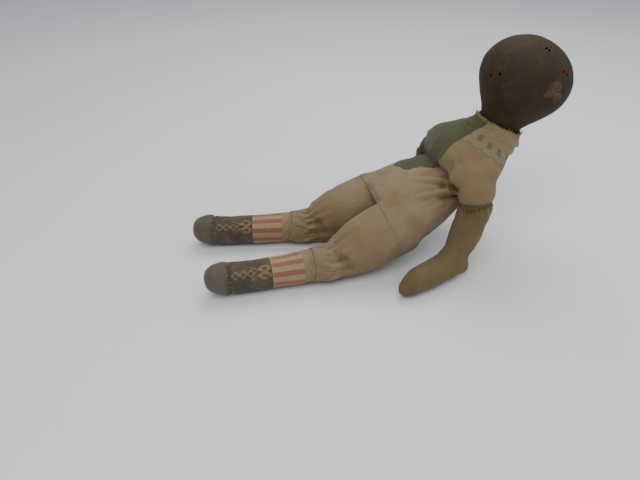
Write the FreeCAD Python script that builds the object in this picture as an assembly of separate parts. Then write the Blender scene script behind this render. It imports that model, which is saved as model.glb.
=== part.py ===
"""Stuffed printed-cloth doll with a hard, hollow, bald head, lying back propped on its elbows.

Millimetres, +X from the feet to the head, +Y to the doll's right side, +Z up.  The origin is on
the surface that the doll lies on, under the middle of its box.  Every cloth segment is a front and
a back cover over its own stuffing.  A segment's upper end is rounded about its hinge line and sits
in the hollow lower end of the segment above, so that the stitched joints can bend.
"""
import FreeCAD, Part
import math
import os

V = FreeCAD.Vector

# ---- driving dimensions -------------------------------------------------------------------------
CLOTH = 1.2             # thickness of a cotton cover with its turned seams
EASE = 0.3              # between a cover and its stuffing
CLEAR = 0.6             # between two bodies that move
REACH = 400.0           # longer than the doll, for cutting tools
# corners of a unit circle's four quarter arcs
QUARTERS = [((1, 0), (1, 1), (0, 1)), ((0, 1), (-1, 1), (-1, 0)),
            ((-1, 0), (-1, -1), (0, -1)), ((0, -1), (1, -1), (1, 0))]

SHAFT_EASE = 0.8        # extra room where a bent segment comes near the one above

# torso: x, y, z of the section's middle, half width, half depth, pitch of the spine there
TORSO = [
    (-30, 2, 56, 86, 43, 22),
    (-6, 3, 65, 86, 44, 25),
    (20, 4, 77, 82, 44, 31),
    (48, 5, 92, 74, 42, 36),
    (72, 6, 105, 67, 36, 40),
    (84, 5, 111, 62, 27, 47),
    (81, 2, 125, 80, 31, 55),
    (91, -2, 141, 88, 38, 61),
    (106, -3, 156, 82, 41, 66),
    (124, -3, 169, 61, 41, 68),
    (140, -4, 182, 44, 39, 68),
]

# hips: one stitched line across the body, turned a little so that the left hip is nearer the head
HIP_LINE = (-33, 2, 54)
HIP_YAW = 6.0
HIP_OUT = 43.0
HIP_R = 44.0
HIP_LIP = 19.0          # from the hip line to the torso's lower edge

# thigh: distance from the knee, z, half width, half depth, pitch
THIGH_LENGTH = 82.0
THIGH = [
    (-4, 27, 30, 27.5, 14),
    (18, 31.5, 35, 32.5, 18),
    (46, 40.5, 40.5, 41, 20),
    (82, 54, 42.5, 42, 18),
    (126, 66, 42.5, 42, 14),
]
THIGH_YAW = {"left": 10.0, "right": -1.0}

# lower leg: distance from the knee, z, half width, half depth
KNEE_Z = 27.0
KNEE_R = 27.0
KNEE_LIP = 11.0
LOWER_LEG = [
    (-30, 27, 26.5, 25.5),
    (0, 27, 26.5, 25.5),
    (30, 26, 25, 25.2),
    (75, 24, 22.8, 24.3),
    (122, 23.6, 21.8, 24.2),
    (147, 25.6, 22.5, 25.2),
    (162, 27, 21.3, 23.2),
    (172, 27.5, 16, 17.5),
    (177, 27.5, 8, 9),
]
LOWER_LEG_YAW = {"left": 0.5, "right": 9.3}
TOE_SEAM = 143.0        # from the knee to the seam where the toe of the boot is sewn on
HEM = (13.0, 25.0)      # gathered hem at the top of the lower leg, from and to
HEM_CLOTH = 1.4

# arms: both segments lie in one upright plane, splayed out from the body
ARM_SPLAY = 21.5
SHOULDER = (88, 78, 98)
SHOULDER_R = 24.0
SHOULDER_SWING = (-5.0, 80.0)
UPPER_ARM_LENGTH = 80.0
UPPER_ARM_PITCH = 73.0
UPPER_ARM = [(-28, 23.5, 25), (0, 24, 25), (36, 23.5, 24.5), (66, 23, 24), (76, 23, 24)]
ELBOW_R = 22.3
ELBOW_FLEX = 20.0       # forearm folds further up from its rest
ELBOW_LIP = 16.0
FOREARM = [
    (-26, 21.4, 22.5, 22.3),
    (0, 21.4, 22.5, 22.3),
    (35, 20.6, 22, 21.6),
    (72, 18.5, 20.5, 19.5),
    (92, 15.5, 16.5, 14.8),
    (104, 14, 9, 8),
    (107, 14, 4, 4),
]

# head and neck: distance along the head's own axis from the neck pivot, radius
NECK = (140, -4, 178)
HEAD_PITCH = 67.0
HEAD_WALL = 4.0
HEAD_NECK = [(2, 28), (14, 29), (28, 36.5), (45, 49), (61, 58)]
HEAD_WIDEST = (80, 62)
HEAD_TOP = 133.0
PLUG_R = 28.0
PLUG_UP = 24.0
CUFF = (2.0, 15.0)
CUFF_R = 29.6
NECK_POCKET_R = 32.2
BINDING_R = 0.9
BINDING_TURNS = (8.0, 10.2)
# holes that held the wig: angle round the head from its front, distance along the axis
WIG_HOLE_R = 1.3
WIG_HOLES = [(12, 68), (24, 75), (61, 126), (68, 125), (99, 109), (107, 107), (-75, 90), (-83, 89)]

STITCH_R = 0.7
STITCH_LONG = 7.0
SIDE_STITCHES = 6
SIDES = {"left": -1, "right": 1}


# ---- building blocks ------------------------------------------------------------------------------
def heading(pitch, yaw=0.0):
    """Unit vector with this pitch above level and yaw from +X towards +Y, in degrees."""
    p, y = math.radians(pitch), math.radians(yaw)
    return V(math.cos(p) * math.cos(y), math.cos(p) * math.sin(y), math.sin(p))


def oval(centre, along, across, half_width, half_depth):
    """Quarter arcs of an exact ellipse, with its width along across, square to along."""
    up = along.cross(across)
    arcs = []
    for corners in QUARTERS:
        curve = Part.BezierCurve()
        curve.setPoles([centre + across * (half_width * x) + up * (half_depth * y) for x, y in corners])
        curve.setWeight(2, math.sqrt(0.5))
        arcs.append(curve.toShape())
    return arcs


def loft(stations, inset=0.0):
    """Solid through stations of (centre, along, across, half width, half depth)."""
    rings = [oval(c, t, s, w - inset, d - inset) for c, t, s, w, d in stations]
    faces = [Part.Face(Part.Wire(rings[0])), Part.Face(Part.Wire(rings[-1]))]
    for low, high in zip(rings, rings[1:]):
        faces += [Part.makeRuledSurface(a, b) for a, b in zip(low, high)]
    shell = Part.makeShell(faces)
    shell.sewShape()
    solid = Part.makeSolid(Part.Shell(shell.Faces))
    if solid.Volume < 0:
        solid.reverse()
    return solid


def pulled_in(stations, inset):
    """The same stations with the last one, a closed tip, drawn back by inset."""
    c, t, s, w, d = stations[-1]
    before = stations[-2][0]
    back = (before - c)
    back.normalize()
    return stations[:-1] + [(c + back * inset, t, s, w, d)]


def bar(centre, axis, radius, length=2 * REACH):
    """Cylinder of this radius centred on a point, along an axis."""
    return Part.makeCylinder(radius, length, centre - axis * (length / 2), axis)


def half_space(point, normal):
    """Large block on the side of a plane that its normal points to."""
    block = Part.makeBox(2 * REACH, 2 * REACH, REACH, V(-REACH, -REACH, 0))
    block.Placement = FreeCAD.Placement(point, FreeCAD.Rotation(V(0, 0, 1), normal))
    return block


def curtain(path, front, across):
    """Block on the front side of a path, for splitting covers at their side seams."""
    corners = path + [path[-1] + front * REACH, path[0] + front * REACH]
    face = Part.Face(Part.makePolygon([p - across * REACH for p in corners + corners[:1]]))
    return face.extrude(across * (2 * REACH))


def round_end(hinge, axis, outward, radius):
    """Keeps what is on the outward side of a hinge line, or within radius of it."""
    return half_space(hinge, outward).fuse(bar(hinge, axis, radius))


def above(height):
    return half_space(V(0, 0, height), V(0, 0, 1))


class Segment:
    """A stuffed cloth segment: outer form, form inside the cloth, and stuffing."""

    def __init__(self, stations, closed_tip=False):
        self.layers = []
        for inset in (0.0, CLOTH, CLOTH + EASE):
            own = pulled_in(stations, inset) if closed_tip else stations
            self.layers.append((inset, loft(own, inset)))

    def each(self, change):
        self.layers = [(inset, change(shape, inset)) for inset, shape in self.layers]

    def stand(self):
        """Flattens the underside where it rests on the surface."""
        self.each(lambda shape, inset: shape.common(above(inset)))

    def round_top(self, hinge, axis, outward, radius):
        self.each(lambda s, inset: s.common(round_end(hinge, axis, outward, radius - inset)))

    def cut(self, tool):
        self.each(lambda s, inset: s.cut(tool))

    def cover(self):
        return self.layers[0][1].cut(self.layers[1][1])

    def stuffing(self):
        return self.layers[2][1]


def whole(shape):
    """The largest solid of a shape: drops crumbs left where two cuts meet."""
    return max(shape.Solids, key=lambda solid: solid.Volume)


def turned(vector, axis, degrees):
    return FreeCAD.Rotation(axis, degrees).multVec(vector)


def stitch(centre, along, length=STITCH_LONG):
    """One stitch: a short round thread lying on the cloth."""
    along.normalize()
    return Part.makeCylinder(STITCH_R, length, centre - along * (length / 2), along)


def skin_point(shape, start, direction):
    """Where a ray from inside a form leaves it."""
    ray = Part.makeLine(start, start + direction * REACH)
    return max((v.Point for v in ray.common(shape).Vertexes), key=lambda p: (p - start).Length)


# ---- hip and shoulder places that several pieces share ------------------------------------------------
HIP_AXIS = V(-math.sin(math.radians(HIP_YAW)), math.cos(math.radians(HIP_YAW)), 0)
HIP_POINT = V(*HIP_LINE)


def hip(side):
    return HIP_POINT + HIP_AXIS * (SIDES[side] * HIP_OUT)


def thigh_heading(side):
    return heading(0, 180 + SIDES[side] * -THIGH_YAW[side])


def knee(side):
    point = hip(side) + thigh_heading(side) * THIGH_LENGTH
    return V(point.x, point.y, KNEE_Z)


def leg_heading(side):
    return heading(0, 180 - SIDES[side] * LOWER_LEG_YAW[side])


def arm_heading(side):
    """Level direction from the elbow to the hand."""
    return heading(0, 180 - SIDES[side] * ARM_SPLAY)


def arm_axis(side):
    """Hinge direction of shoulder and elbow: positive turns swing both arms forwards."""
    return V(0, 0, 1).cross(arm_heading(side)) * -1


def shoulder(side):
    return V(SHOULDER[0], SIDES[side] * SHOULDER[1], SHOULDER[2])


def upper_arm_down(side):
    """Direction from the shoulder to the elbow."""
    return turned(arm_heading(side), arm_axis(side), -UPPER_ARM_PITCH)


def elbow(side):
    return shoulder(side) + upper_arm_down(side) * UPPER_ARM_LENGTH


# ---- torso --------------------------------------------------------------------------------------------
HEAD_AXIS = heading(HEAD_PITCH)
NECK_POINT = V(*NECK)


def arm_sweep(side):
    """Room that an arm needs beside the torso over its whole swing."""
    axis, centre = arm_axis(side), shoulder(side)
    low = turned(upper_arm_down(side), axis, SHOULDER_SWING[0])
    high = turned(upper_arm_down(side), axis, SHOULDER_SWING[1])
    r = SHOULDER_R + 1.0 + SHAFT_EASE
    behind, over = turned(low, axis, -90), turned(high, axis, 90)
    reach = UPPER_ARM_LENGTH * 2.6
    middle = low + high
    middle.normalize()
    corners = [centre + behind * r, centre + behind * r + low * reach,
               centre + middle * (reach * 1.4), centre + over * r + high * reach, centre + over * r]
    width = UPPER_ARM[1][1] + CLEAR
    face = Part.Face(Part.makePolygon([p - axis * width for p in corners + corners[:1]]))
    return face.extrude(axis * (2 * width)).fuse(bar(centre, axis, r, 2 * width))


def torso():
    stations = [(V(x, y, z), heading(p), V(0, 1, 0), w, d) for x, y, z, w, d, p in TORSO]
    body = Segment(stations)
    spine = heading(TORSO[0][5])
    body.cut(bar(HIP_POINT, HIP_AXIS, HIP_R + CLEAR))
    body.cut(half_space(HIP_POINT + spine * HIP_LIP, spine * -1))
    for side in SIDES:
        body.cut(arm_sweep(side))
    body.cut(half_space(NECK_POINT, HEAD_AXIS))
    body.cut(Part.makeSphere(NECK_POCKET_R, NECK_POINT, HEAD_AXIS, -86, 86, 360))
    seam = [V(x, 0, z) for x, _, z, _, _, _ in TORSO]
    seam = [seam[0] - heading(22) * 60] + seam + [seam[-1] + heading(72) * 40]
    front = curtain(seam, V(-0.5, 0, 0.866), V(0, 1, 0))
    cover = body.cover()
    return {"torso_front_cover": whole(cover.common(front)),
            "torso_back_cover": whole(cover.cut(front)),
            "torso_stuffing": whole(body.stuffing())}, body.layers[0][1]


def torso_side_stitches(form, side):
    """Whip stitches over the side seam, from the hip to where the arm lies along it."""
    low, high = (V(x, y, z) for x, y, z, *_ in (TORSO[1], TORSO[3]))
    along = high - low
    pieces = []
    for k in range(SIDE_STITCHES):
        start = low + along * (0.45 + 0.5 * k / (SIDE_STITCHES - 1))
        out = V(0, SIDES[side], 0)
        # pulled half into the cloth, so that the arm passes over them
        place = skin_point(form, start, out) - out * STITCH_R
        pieces.append(stitch(place, V(-0.75, 0, 0.65)))
    return Part.makeCompound(pieces)


# ---- legs -----------------------------------------------------------------------------------------------
def thigh(side):
    """Thigh from the hip line to the knee, hollow at the knee."""
    flat, knee_at = thigh_heading(side) * -1, knee(side)
    across = V(0, 0, 1).cross(flat)
    stations = []
    for along, z, w, d, pitch in THIGH:
        yaw = math.degrees(math.atan2(flat.y, flat.x))
        centre = knee_at + flat * along
        stations.append((V(centre.x, centre.y, z), heading(pitch, yaw), across, w, d))
    part = Segment(stations)
    outward = (knee_at - hip(side))
    outward.normalize()
    part.round_top(hip(side), HIP_AXIS, outward, HIP_R)
    part.stand()
    leg_across = V(0, 0, 1).cross(leg_heading(side))
    part.cut(bar(knee_at, leg_across, KNEE_R + CLEAR))
    part.cut(half_space(knee_at - outward * KNEE_LIP, outward))
    # the middle of the body stays free for the other thigh
    inside = V(0, -SIDES[side], 0)
    part.cut(half_space(V(0, SIDES[side] * CLEAR, 0), inside))
    slope = [stations[0][0] - flat * 60 - V(0, 0, 14), stations[-1][0] + flat * 20]
    front = curtain(slope, V(0, 0, 1), across)
    cover = part.cover()
    return {f"thigh_{side}_front_cover": whole(cover.common(front)),
            f"thigh_{side}_back_cover": whole(cover.cut(front)),
            f"thigh_{side}_stuffing": whole(part.stuffing())}


def lower_leg(side):
    """Printed stocking and boot in one piece of cloth, with a toe sewn on."""
    knee_at, ahead = knee(side), leg_heading(side)
    across = V(0, 0, 1).cross(ahead)
    stations = []
    for along, z, w, d in LOWER_LEG:
        centre = knee_at + ahead * along
        stations.append((V(centre.x, centre.y, z), ahead, across, w, d))
    part = Segment(stations, closed_tip=True)
    part.round_top(knee_at, across, ahead, KNEE_R)
    part.stand()
    cover, form = part.cover(), part.layers[0][1]
    toe = half_space(knee_at + ahead * TOE_SEAM, ahead)
    front = curtain([knee_at - ahead * 60, knee_at + ahead * 260], V(0, 0, 1), across)
    leg = cover.cut(toe)
    pieces = {f"lower_leg_{side}_front_cover": whole(leg.common(front)),
              f"lower_leg_{side}_back_cover": whole(leg.cut(front)),
              f"boot_toe_{side}": whole(cover.common(toe)),
              f"lower_leg_{side}_stuffing": whole(part.stuffing())}
    # gathered hem of the thigh's cloth, sewn round the top of the lower leg
    band = loft([(c, t, s, w + HEM_CLOTH, d + HEM_CLOTH) for c, t, s, w, d in stations])
    band = band.common(above(0)).cut(form)
    start, end = (knee_at + ahead * d for d in HEM)
    band = band.common(half_space(start, ahead)).cut(half_space(end, ahead))
    pieces[f"knee_hem_{side}"] = whole(band)
    # coarse stitches across the toe seam, round the top and sides
    seam = knee_at + ahead * TOE_SEAM
    threads = []
    for angle in range(-10, 191, 25):
        a = math.radians(angle)
        out = across * math.cos(a) + V(0, 0, 1) * math.sin(a)
        place = skin_point(form, seam, out)
        threads.append(stitch(place, ahead + across * 0.25))
    pieces[f"boot_stitches_{side}"] = Part.makeCompound(threads)
    return pieces


# ---- arms -------------------------------------------------------------------------------------------------
def upper_arm(side):
    down, axis = upper_arm_down(side), arm_axis(side)
    stations = [(shoulder(side) + down * s, down, axis, w, d) for s, w, d in UPPER_ARM]
    part = Segment(stations)
    part.round_top(shoulder(side), axis, down, SHOULDER_R)
    part.cut(bar(elbow(side), axis, ELBOW_R + CLEAR))
    part.cut(half_space(elbow(side) - down * ELBOW_LIP, down))
    # bevel in the crook, for the forearm at its furthest fold
    crook = turned(V(0, 0, -1), axis, ELBOW_FLEX)
    part.cut(half_space(elbow(side) - crook * (ELBOW_R + CLEAR + SHAFT_EASE), crook))
    ends = [shoulder(side) - down * 60, elbow(side) + down * 30]
    front = curtain(ends, arm_heading(side), axis)
    cover, form = part.cover(), part.layers[0][1]
    pieces = {f"upper_arm_{side}_front_cover": whole(cover.common(front)),
              f"upper_arm_{side}_back_cover": whole(cover.cut(front)),
              f"upper_arm_{side}_stuffing": whole(part.stuffing())}
    # stitches at the shoulder seam, on the outer side where the arm meets the body's cloth
    threads = []
    out = axis if axis.y * SIDES[side] > 0 else axis * -1
    for angle in range(-60, 61, 20):
        a = math.radians(angle)
        ray = out * math.cos(a) + arm_heading(side) * math.sin(a)
        place = skin_point(form, shoulder(side) + down * 6, ray)
        threads.append(stitch(place, V(down)))
    pieces[f"shoulder_stitches_{side}"] = Part.makeCompound(threads)
    return pieces


def forearm(side):
    """Forearm and mitten hand in one."""
    ahead, axis, start = arm_heading(side), arm_axis(side), elbow(side)
    stations = []
    for along, z, w, d in FOREARM:
        centre = start + ahead * along
        stations.append((V(centre.x, centre.y, z + start.z - FOREARM[1][1]), ahead, axis, w, d))
    part = Segment(stations, closed_tip=True)
    part.round_top(start, axis, ahead, ELBOW_R)
    part.stand()
    front = curtain([start - ahead * 60, start + ahead * 160 - V(0, 0, 10)], V(0, 0, 1), axis)
    cover = part.cover()
    return {f"forearm_{side}_front_cover": whole(cover.common(front)),
            f"forearm_{side}_back_cover": whole(cover.cut(front)),
            f"forearm_{side}_stuffing": whole(part.stuffing())}


# ---- head and neck -------------------------------------------------------------------------------------------
def head_frame():
    """Placement that stands a shape made along +Z on the neck pivot, along the head's axis."""
    return FreeCAD.Placement(NECK_POINT, FreeCAD.Rotation(V(0, 1, 0), 90 - HEAD_PITCH))


def head_form(inset, foot):
    """Solid gourd shape: a spline from the neck over the widest place to a small flat spot at the crown, turned."""
    s_wide, r_wide = HEAD_WIDEST
    points = [V(r - inset, 0, s) for s, r in HEAD_NECK]
    for angle in range(0, 89, 11):
        a = math.radians(angle)
        points.append(V((r_wide - inset) * math.cos(a), 0, s_wide + (HEAD_TOP - s_wide - inset) * math.sin(a)))
    side = Part.BSplineCurve()
    side.interpolate(points)
    corners = [points[-1], V(0, 0, points[-1].z), V(0, 0, foot), V(points[0].x, 0, foot), points[0]]
    lines = [Part.makeLine(a, b) for a, b in zip(corners, corners[1:]) if a != b]
    wire = Part.Wire(Part.__sortEdges__([side.toShape()] + lines))
    return Part.Face(wire).revolve(V(0, 0, 0), V(0, 0, 1), 360)


def head_shell():
    """Hollow gourd-shaped shell, open at the neck, with small holes that held the wig."""
    foot = HEAD_NECK[0][0]
    shell = head_form(0, foot).cut(head_form(HEAD_WALL, foot - 1))
    for angle, s in WIG_HOLES:
        a = math.radians(180 + angle)
        out = V(math.cos(a), math.sin(a), 0.25)
        start = V(0, 0, s - 12) + out * (HEAD_WIDEST[1] / 2)
        shell = shell.cut(Part.makeCylinder(WIG_HOLE_R, HEAD_WIDEST[1], start, out))
    shell.Placement = head_frame()
    return whole(shell)


def neck_plug():
    """Rag wad that closes the head's neck, round below where it sits in the torso."""
    below = half_space(V(0, 0, HEAD_NECK[0][0] - EASE), V(0, 0, -1))
    ball = Part.makeSphere(PLUG_R, V(0, 0, 0), V(0, 0, 1), -86, 86, 360).common(below)
    stem = Part.makeCylinder(PLUG_R - HEAD_WALL - EASE, PLUG_UP)
    plug = ball.fuse(stem)
    plug.Placement = head_frame()
    return whole(plug)


def neck_cuff():
    """Cloth of the neck, drawn up round the head's neck, with a raw edge."""
    low, high = CUFF
    outer = Part.makeCylinder(CUFF_R + CLOTH, high - low, V(0, 0, low))
    cuff = outer.cut(Part.makeCylinder(CUFF_R, high, V(0, 0, 0)))
    cuff.Placement = head_frame()
    return whole(cuff)


def neck_binding():
    """Turns of thread that tie the cuff to the neck."""
    turns = []
    for s in BINDING_TURNS:
        turn = Part.makeTorus(CUFF_R + CLOTH + BINDING_R, BINDING_R, V(0, 0, s))
        turn.Placement = head_frame().multiply(turn.Placement)
        turns.append(turn)
    return Part.makeCompound(turns)


# ---- assembly -----------------------------------------------------------------------------------------------
def build():
    pieces, torso_form = torso()
    pieces["head_shell"] = head_shell()
    pieces["neck_plug"] = neck_plug()
    pieces["neck_cuff"] = neck_cuff()
    pieces["neck_binding"] = neck_binding()
    for side in SIDES:
        pieces[f"torso_side_stitches_{side}"] = torso_side_stitches(torso_form, side)
        for make in (thigh, lower_leg, upper_arm, forearm):
            pieces.update(make(side))
    return pieces


def main():
    pieces = build()
    box = Part.makeCompound(list(pieces.values())).optimalBoundingBox(False, False)
    shift = V(-box.Center.x, -box.Center.y, -box.ZMin)
    os.makedirs("parts", exist_ok=True)
    for name, shape in pieces.items():
        shape.translate(shift)
        shape.exportStep(f"parts/{name}.step")
        state = "ok" if shape.isValid() else "INVALID"
        print(f"{name:30s} {state} solids {len(shape.Solids)} volume {shape.Volume / 1000:8.2f} cm3")
    print("box", [round(v, 2) for v in (box.XLength, box.YLength, box.ZLength)])
    joints = {"neck": (NECK_POINT, V(0, 1, 0)), "head": (NECK_POINT, HEAD_AXIS)}
    for side in SIDES:
        joints[f"hip_{side}"] = (hip(side), HIP_AXIS)
        joints[f"knee_{side}"] = (knee(side), V(0, 0, 1).cross(leg_heading(side)))
        joints[f"shoulder_{side}"] = (shoulder(side), arm_axis(side))
        joints[f"elbow_{side}"] = (elbow(side), arm_axis(side))
    for name, (point, axis) in joints.items():
        place = point + shift
        print(name, [round(v / 1000, 5) for v in place], [round(v, 5) for v in axis])


main()
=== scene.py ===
# %% [markdown]
# # An old stuffed cloth doll, built over its CAD frame
#
# The CAD model gives the sizes, the separate parts and the hinges. Here each part gets its real surface:
# cotton that is stuffed tight, seams, gathers, printed boots, and a hard bald head.
# The first cell loads the frame.

# %% Load the frame
import math
import bmesh
import bpy
from mathutils import Matrix, Vector, noise


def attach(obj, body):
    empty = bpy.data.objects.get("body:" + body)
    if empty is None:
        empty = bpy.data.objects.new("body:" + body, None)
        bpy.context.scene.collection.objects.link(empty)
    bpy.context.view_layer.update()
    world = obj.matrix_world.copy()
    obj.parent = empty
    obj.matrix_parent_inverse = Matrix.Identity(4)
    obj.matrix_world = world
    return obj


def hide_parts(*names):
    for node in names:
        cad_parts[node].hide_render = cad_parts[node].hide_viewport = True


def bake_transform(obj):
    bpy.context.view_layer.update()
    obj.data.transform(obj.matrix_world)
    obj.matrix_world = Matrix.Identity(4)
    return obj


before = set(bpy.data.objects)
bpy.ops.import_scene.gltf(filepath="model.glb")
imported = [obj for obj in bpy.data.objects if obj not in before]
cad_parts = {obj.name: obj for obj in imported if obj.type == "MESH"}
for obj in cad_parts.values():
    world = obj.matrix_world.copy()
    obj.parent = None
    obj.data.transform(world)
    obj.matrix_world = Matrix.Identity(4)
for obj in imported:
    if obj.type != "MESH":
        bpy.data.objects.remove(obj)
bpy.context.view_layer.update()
scene = bpy.context.scene

# %% [markdown]
# ## Camera first
#
# The camera goes in first. It stands at the doll's left side, a little above, and looks down at about 35 degrees.

# %% Camera
def deselect():
    """Nothing selected: an operator acts on all that is, and loading leaves the frame's nodes selected."""
    if bpy.context.mode != "OBJECT":
        bpy.ops.object.mode_set(mode="OBJECT")
    bpy.ops.object.select_all(action="DESELECT")


deselect()
bpy.ops.object.camera_add(location=(-0.2331, -0.6571, 0.50), rotation=(math.radians(55), 0, math.radians(-13.2)))
camera = bpy.context.object
camera.name = "Camera"
camera.data.lens = 31.22
camera.data.sensor_width = 36
camera.data.clip_start = 0.01
scene.camera = camera
print("camera at", tuple(round(v, 3) for v in camera.location))

# %% [markdown]
# ## Floor and light
#
# A wide plain sheet under the doll and one large soft lamp on each side give the even light of a small
# studio. A lamp's size matters more than its strength: a big one has soft shadow edges.

# %% Colours and nodes
def colour(code):
    """A hex sRGB colour as the linear one that shaders use."""
    out = []
    for k in (1, 3, 5):
        c = int(code[k:k + 2], 16) / 255
        out.append(c / 12.92 if c <= 0.04045 else ((c + 0.055) / 1.055) ** 2.4)
    return (*out, 1.0)


def add(tree, kind, links=None, **settings):
    """Adds a node with its settings; links gives each input, by name or number, a value or a node's output."""
    made = tree.nodes.new("ShaderNode" + kind)
    for name, value in settings.items():
        setattr(made, name, value)
    for key, value in (links or {}).items():
        if isinstance(value, bpy.types.NodeSocket):
            tree.links.new(value, made.inputs[key])
        else:
            made.inputs[key].default_value = value
    return made


def new_material(name):
    """An empty material with an output; returns it with its tree."""
    material = bpy.data.materials.new(name)
    material.use_nodes = True
    material.node_tree.nodes.clear()
    return material, material.node_tree


def finish_material(tree, **sockets):
    """Adds the shader with its sockets, written with _ for a space, and the output."""
    shader = add(tree, "BsdfPrincipled", {k.replace("_", " "): v for k, v in sockets.items()})
    add(tree, "OutputMaterial", {"Surface": shader.outputs[0]})


# %% Floor and lamps
def matt_paper():
    """Matt backdrop paper: rough, with no gloss."""
    material, tree = new_material("matt_backdrop_paper")
    place = add(tree, "TexCoord").outputs["Object"]
    cloud = add(tree, "TexNoise", {"Vector": place, "Scale": 2.0, "Detail": 2.0}).outputs["Fac"]
    base = add(tree, "Mix", {0: cloud, 6: colour("#dedde0"), 7: colour("#e6e5e7")}, data_type="RGBA")
    finish_material(tree, Base_Color=base.outputs[2], Roughness=0.9)
    return material


deselect()
bpy.ops.mesh.primitive_plane_add(size=8, location=(0, 0, -0.0005))
floor = bpy.context.object
floor.name = "Floor"
bpy.ops.object.transform_apply(location=True, rotation=True, scale=True)
floor.data.materials.append(matt_paper())

world = bpy.data.worlds.new("Soft room")
scene.world = world
world.use_nodes = True
world.node_tree.nodes["Background"].inputs[0].default_value = colour("#dfe3ea")
world.node_tree.nodes["Background"].inputs[1].default_value = 0.55
for name, place, size, power in (("Key", (-0.5, -0.9, 1.5), 1.1, 17), ("Top", (0.3, 0.7, 1.5), 1.2, 16),
                                 ("Side", (1.4, -0.3, 0.8), 0.8, 5)):
    deselect()
    bpy.ops.object.light_add(type="AREA", location=place)
    lamp = bpy.context.object
    lamp.name = name
    lamp.data.size = size
    lamp.data.energy = power
    lamp.rotation_euler = (Vector((0.0, 0.0, 0.1)) - Vector(place)).to_track_quat("-Z", "Y").to_euler()
print("floor and 3 lamps")

# %% [markdown]
# ## Where things are
#
# The hinges say where the knees, hips and neck are, so the pieces here start from them.

# %% Landmarks
NECK = Vector((0.17174, -0.004, 0.178))
HEAD_AXIS = Vector((0.39073, 0, 0.9205))
FRONT = Vector((-0.9205, 0, 0.39073))
SIDES = {"left": -1, "right": 1}
KNEE = {"left": Vector((-0.0775, -0.055, 0.027)), "right": Vector((-0.0877, 0.0433, 0.027))}
LEG = {"left": Vector((-1, -0.0087, 0)), "right": Vector((-0.9868, 0.1616, 0))}
HIP = {"left": Vector((0.0033, -0.0408, 0.054)), "right": Vector((-0.0057, 0.0448, 0.054))}
SHOULDER = {"left": Vector((0.1198, -0.078, 0.098)), "right": Vector((0.1198, 0.078, 0.098))}
ELBOW = {"left": Vector((0.098, -0.0866, 0.0215)), "right": Vector((0.098, 0.0866, 0.0215))}
ARM = {"left": Vector((-0.9304, -0.3665, 0)), "right": Vector((-0.9304, 0.3665, 0))}

# %% [markdown]
# ## A stuffed skin
#
# Every limb is a cotton bag packed hard with straw. The cloth is modelled as cloth: the CAD form is copied,
# remeshed into even squares, and blown up a little by the Cloth simulation, so it swells between its ends
# the way a packed bag does. How far a point may move is capped, so the limb keeps its measured size.

# %% Stuffed skin
def joined_copy(name, nodes, wads=()):
    """One new piece from copies of CAD nodes, and oval wads given by centre and radii; loose triangles are merged."""
    deselect()
    copies = []
    for node in nodes:
        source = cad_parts[node]
        copy = bpy.data.objects.new(name, source.data.copy())
        scene.collection.objects.link(copy)
        copy.data.materials.clear()
        copy.select_set(True)
        copies.append(copy)
    for centre, radii, lean in wads:
        bpy.ops.mesh.primitive_uv_sphere_add(segments=24, ring_count=16, radius=1, location=centre, scale=radii,
                                             rotation=(0, math.radians(lean), 0))
        copies.append(bpy.context.object)
    for copy in copies:
        copy.select_set(True)
    bpy.context.view_layer.objects.active = copies[0]
    if len(copies) > 1:
        bpy.ops.object.join()
    piece = bpy.context.object
    piece.name = name
    bpy.ops.object.mode_set(mode="EDIT")
    bpy.ops.mesh.select_all(action="SELECT")
    bpy.ops.mesh.remove_doubles(threshold=0.00001)
    bpy.ops.object.mode_set(mode="OBJECT")
    return piece


def apply(piece, kind, **settings):
    """Adds one modifier and applies it."""
    modifier = piece.modifiers.new(kind.title(), kind)
    for name, value in settings.items():
        setattr(modifier, name, value)
    deselect()
    piece.select_set(True)
    bpy.context.view_layer.objects.active = piece
    bpy.ops.object.modifier_apply(modifier=modifier.name)


def biggest_part(piece):
    """Drops the closed hollows that a remesh leaves inside."""
    mesh = bmesh.new()
    mesh.from_mesh(piece.data)
    left, parts = set(mesh.verts), []
    while left:
        todo = [left.pop()]
        part = set(todo)
        while todo:
            for edge in todo.pop().link_edges:
                for v in edge.verts:
                    if v not in part:
                        part.add(v)
                        left.discard(v)
                        todo.append(v)
        parts.append(part)
    parts.sort(key=len)
    for part in parts[:-1]:
        bmesh.ops.delete(mesh, geom=list(part), context="VERTS")
    mesh.to_mesh(piece.data)
    mesh.free()


def places(piece):
    return [v.co.copy() for v in piece.data.vertices]


def move(piece, change):
    """Moves each point to change(place, outward)."""
    outward = [v.normal.copy() for v in piece.data.vertices]
    for v, n in zip(piece.data.vertices, outward):
        v.co = change(v.co.copy(), n)
    piece.data.update()


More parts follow.
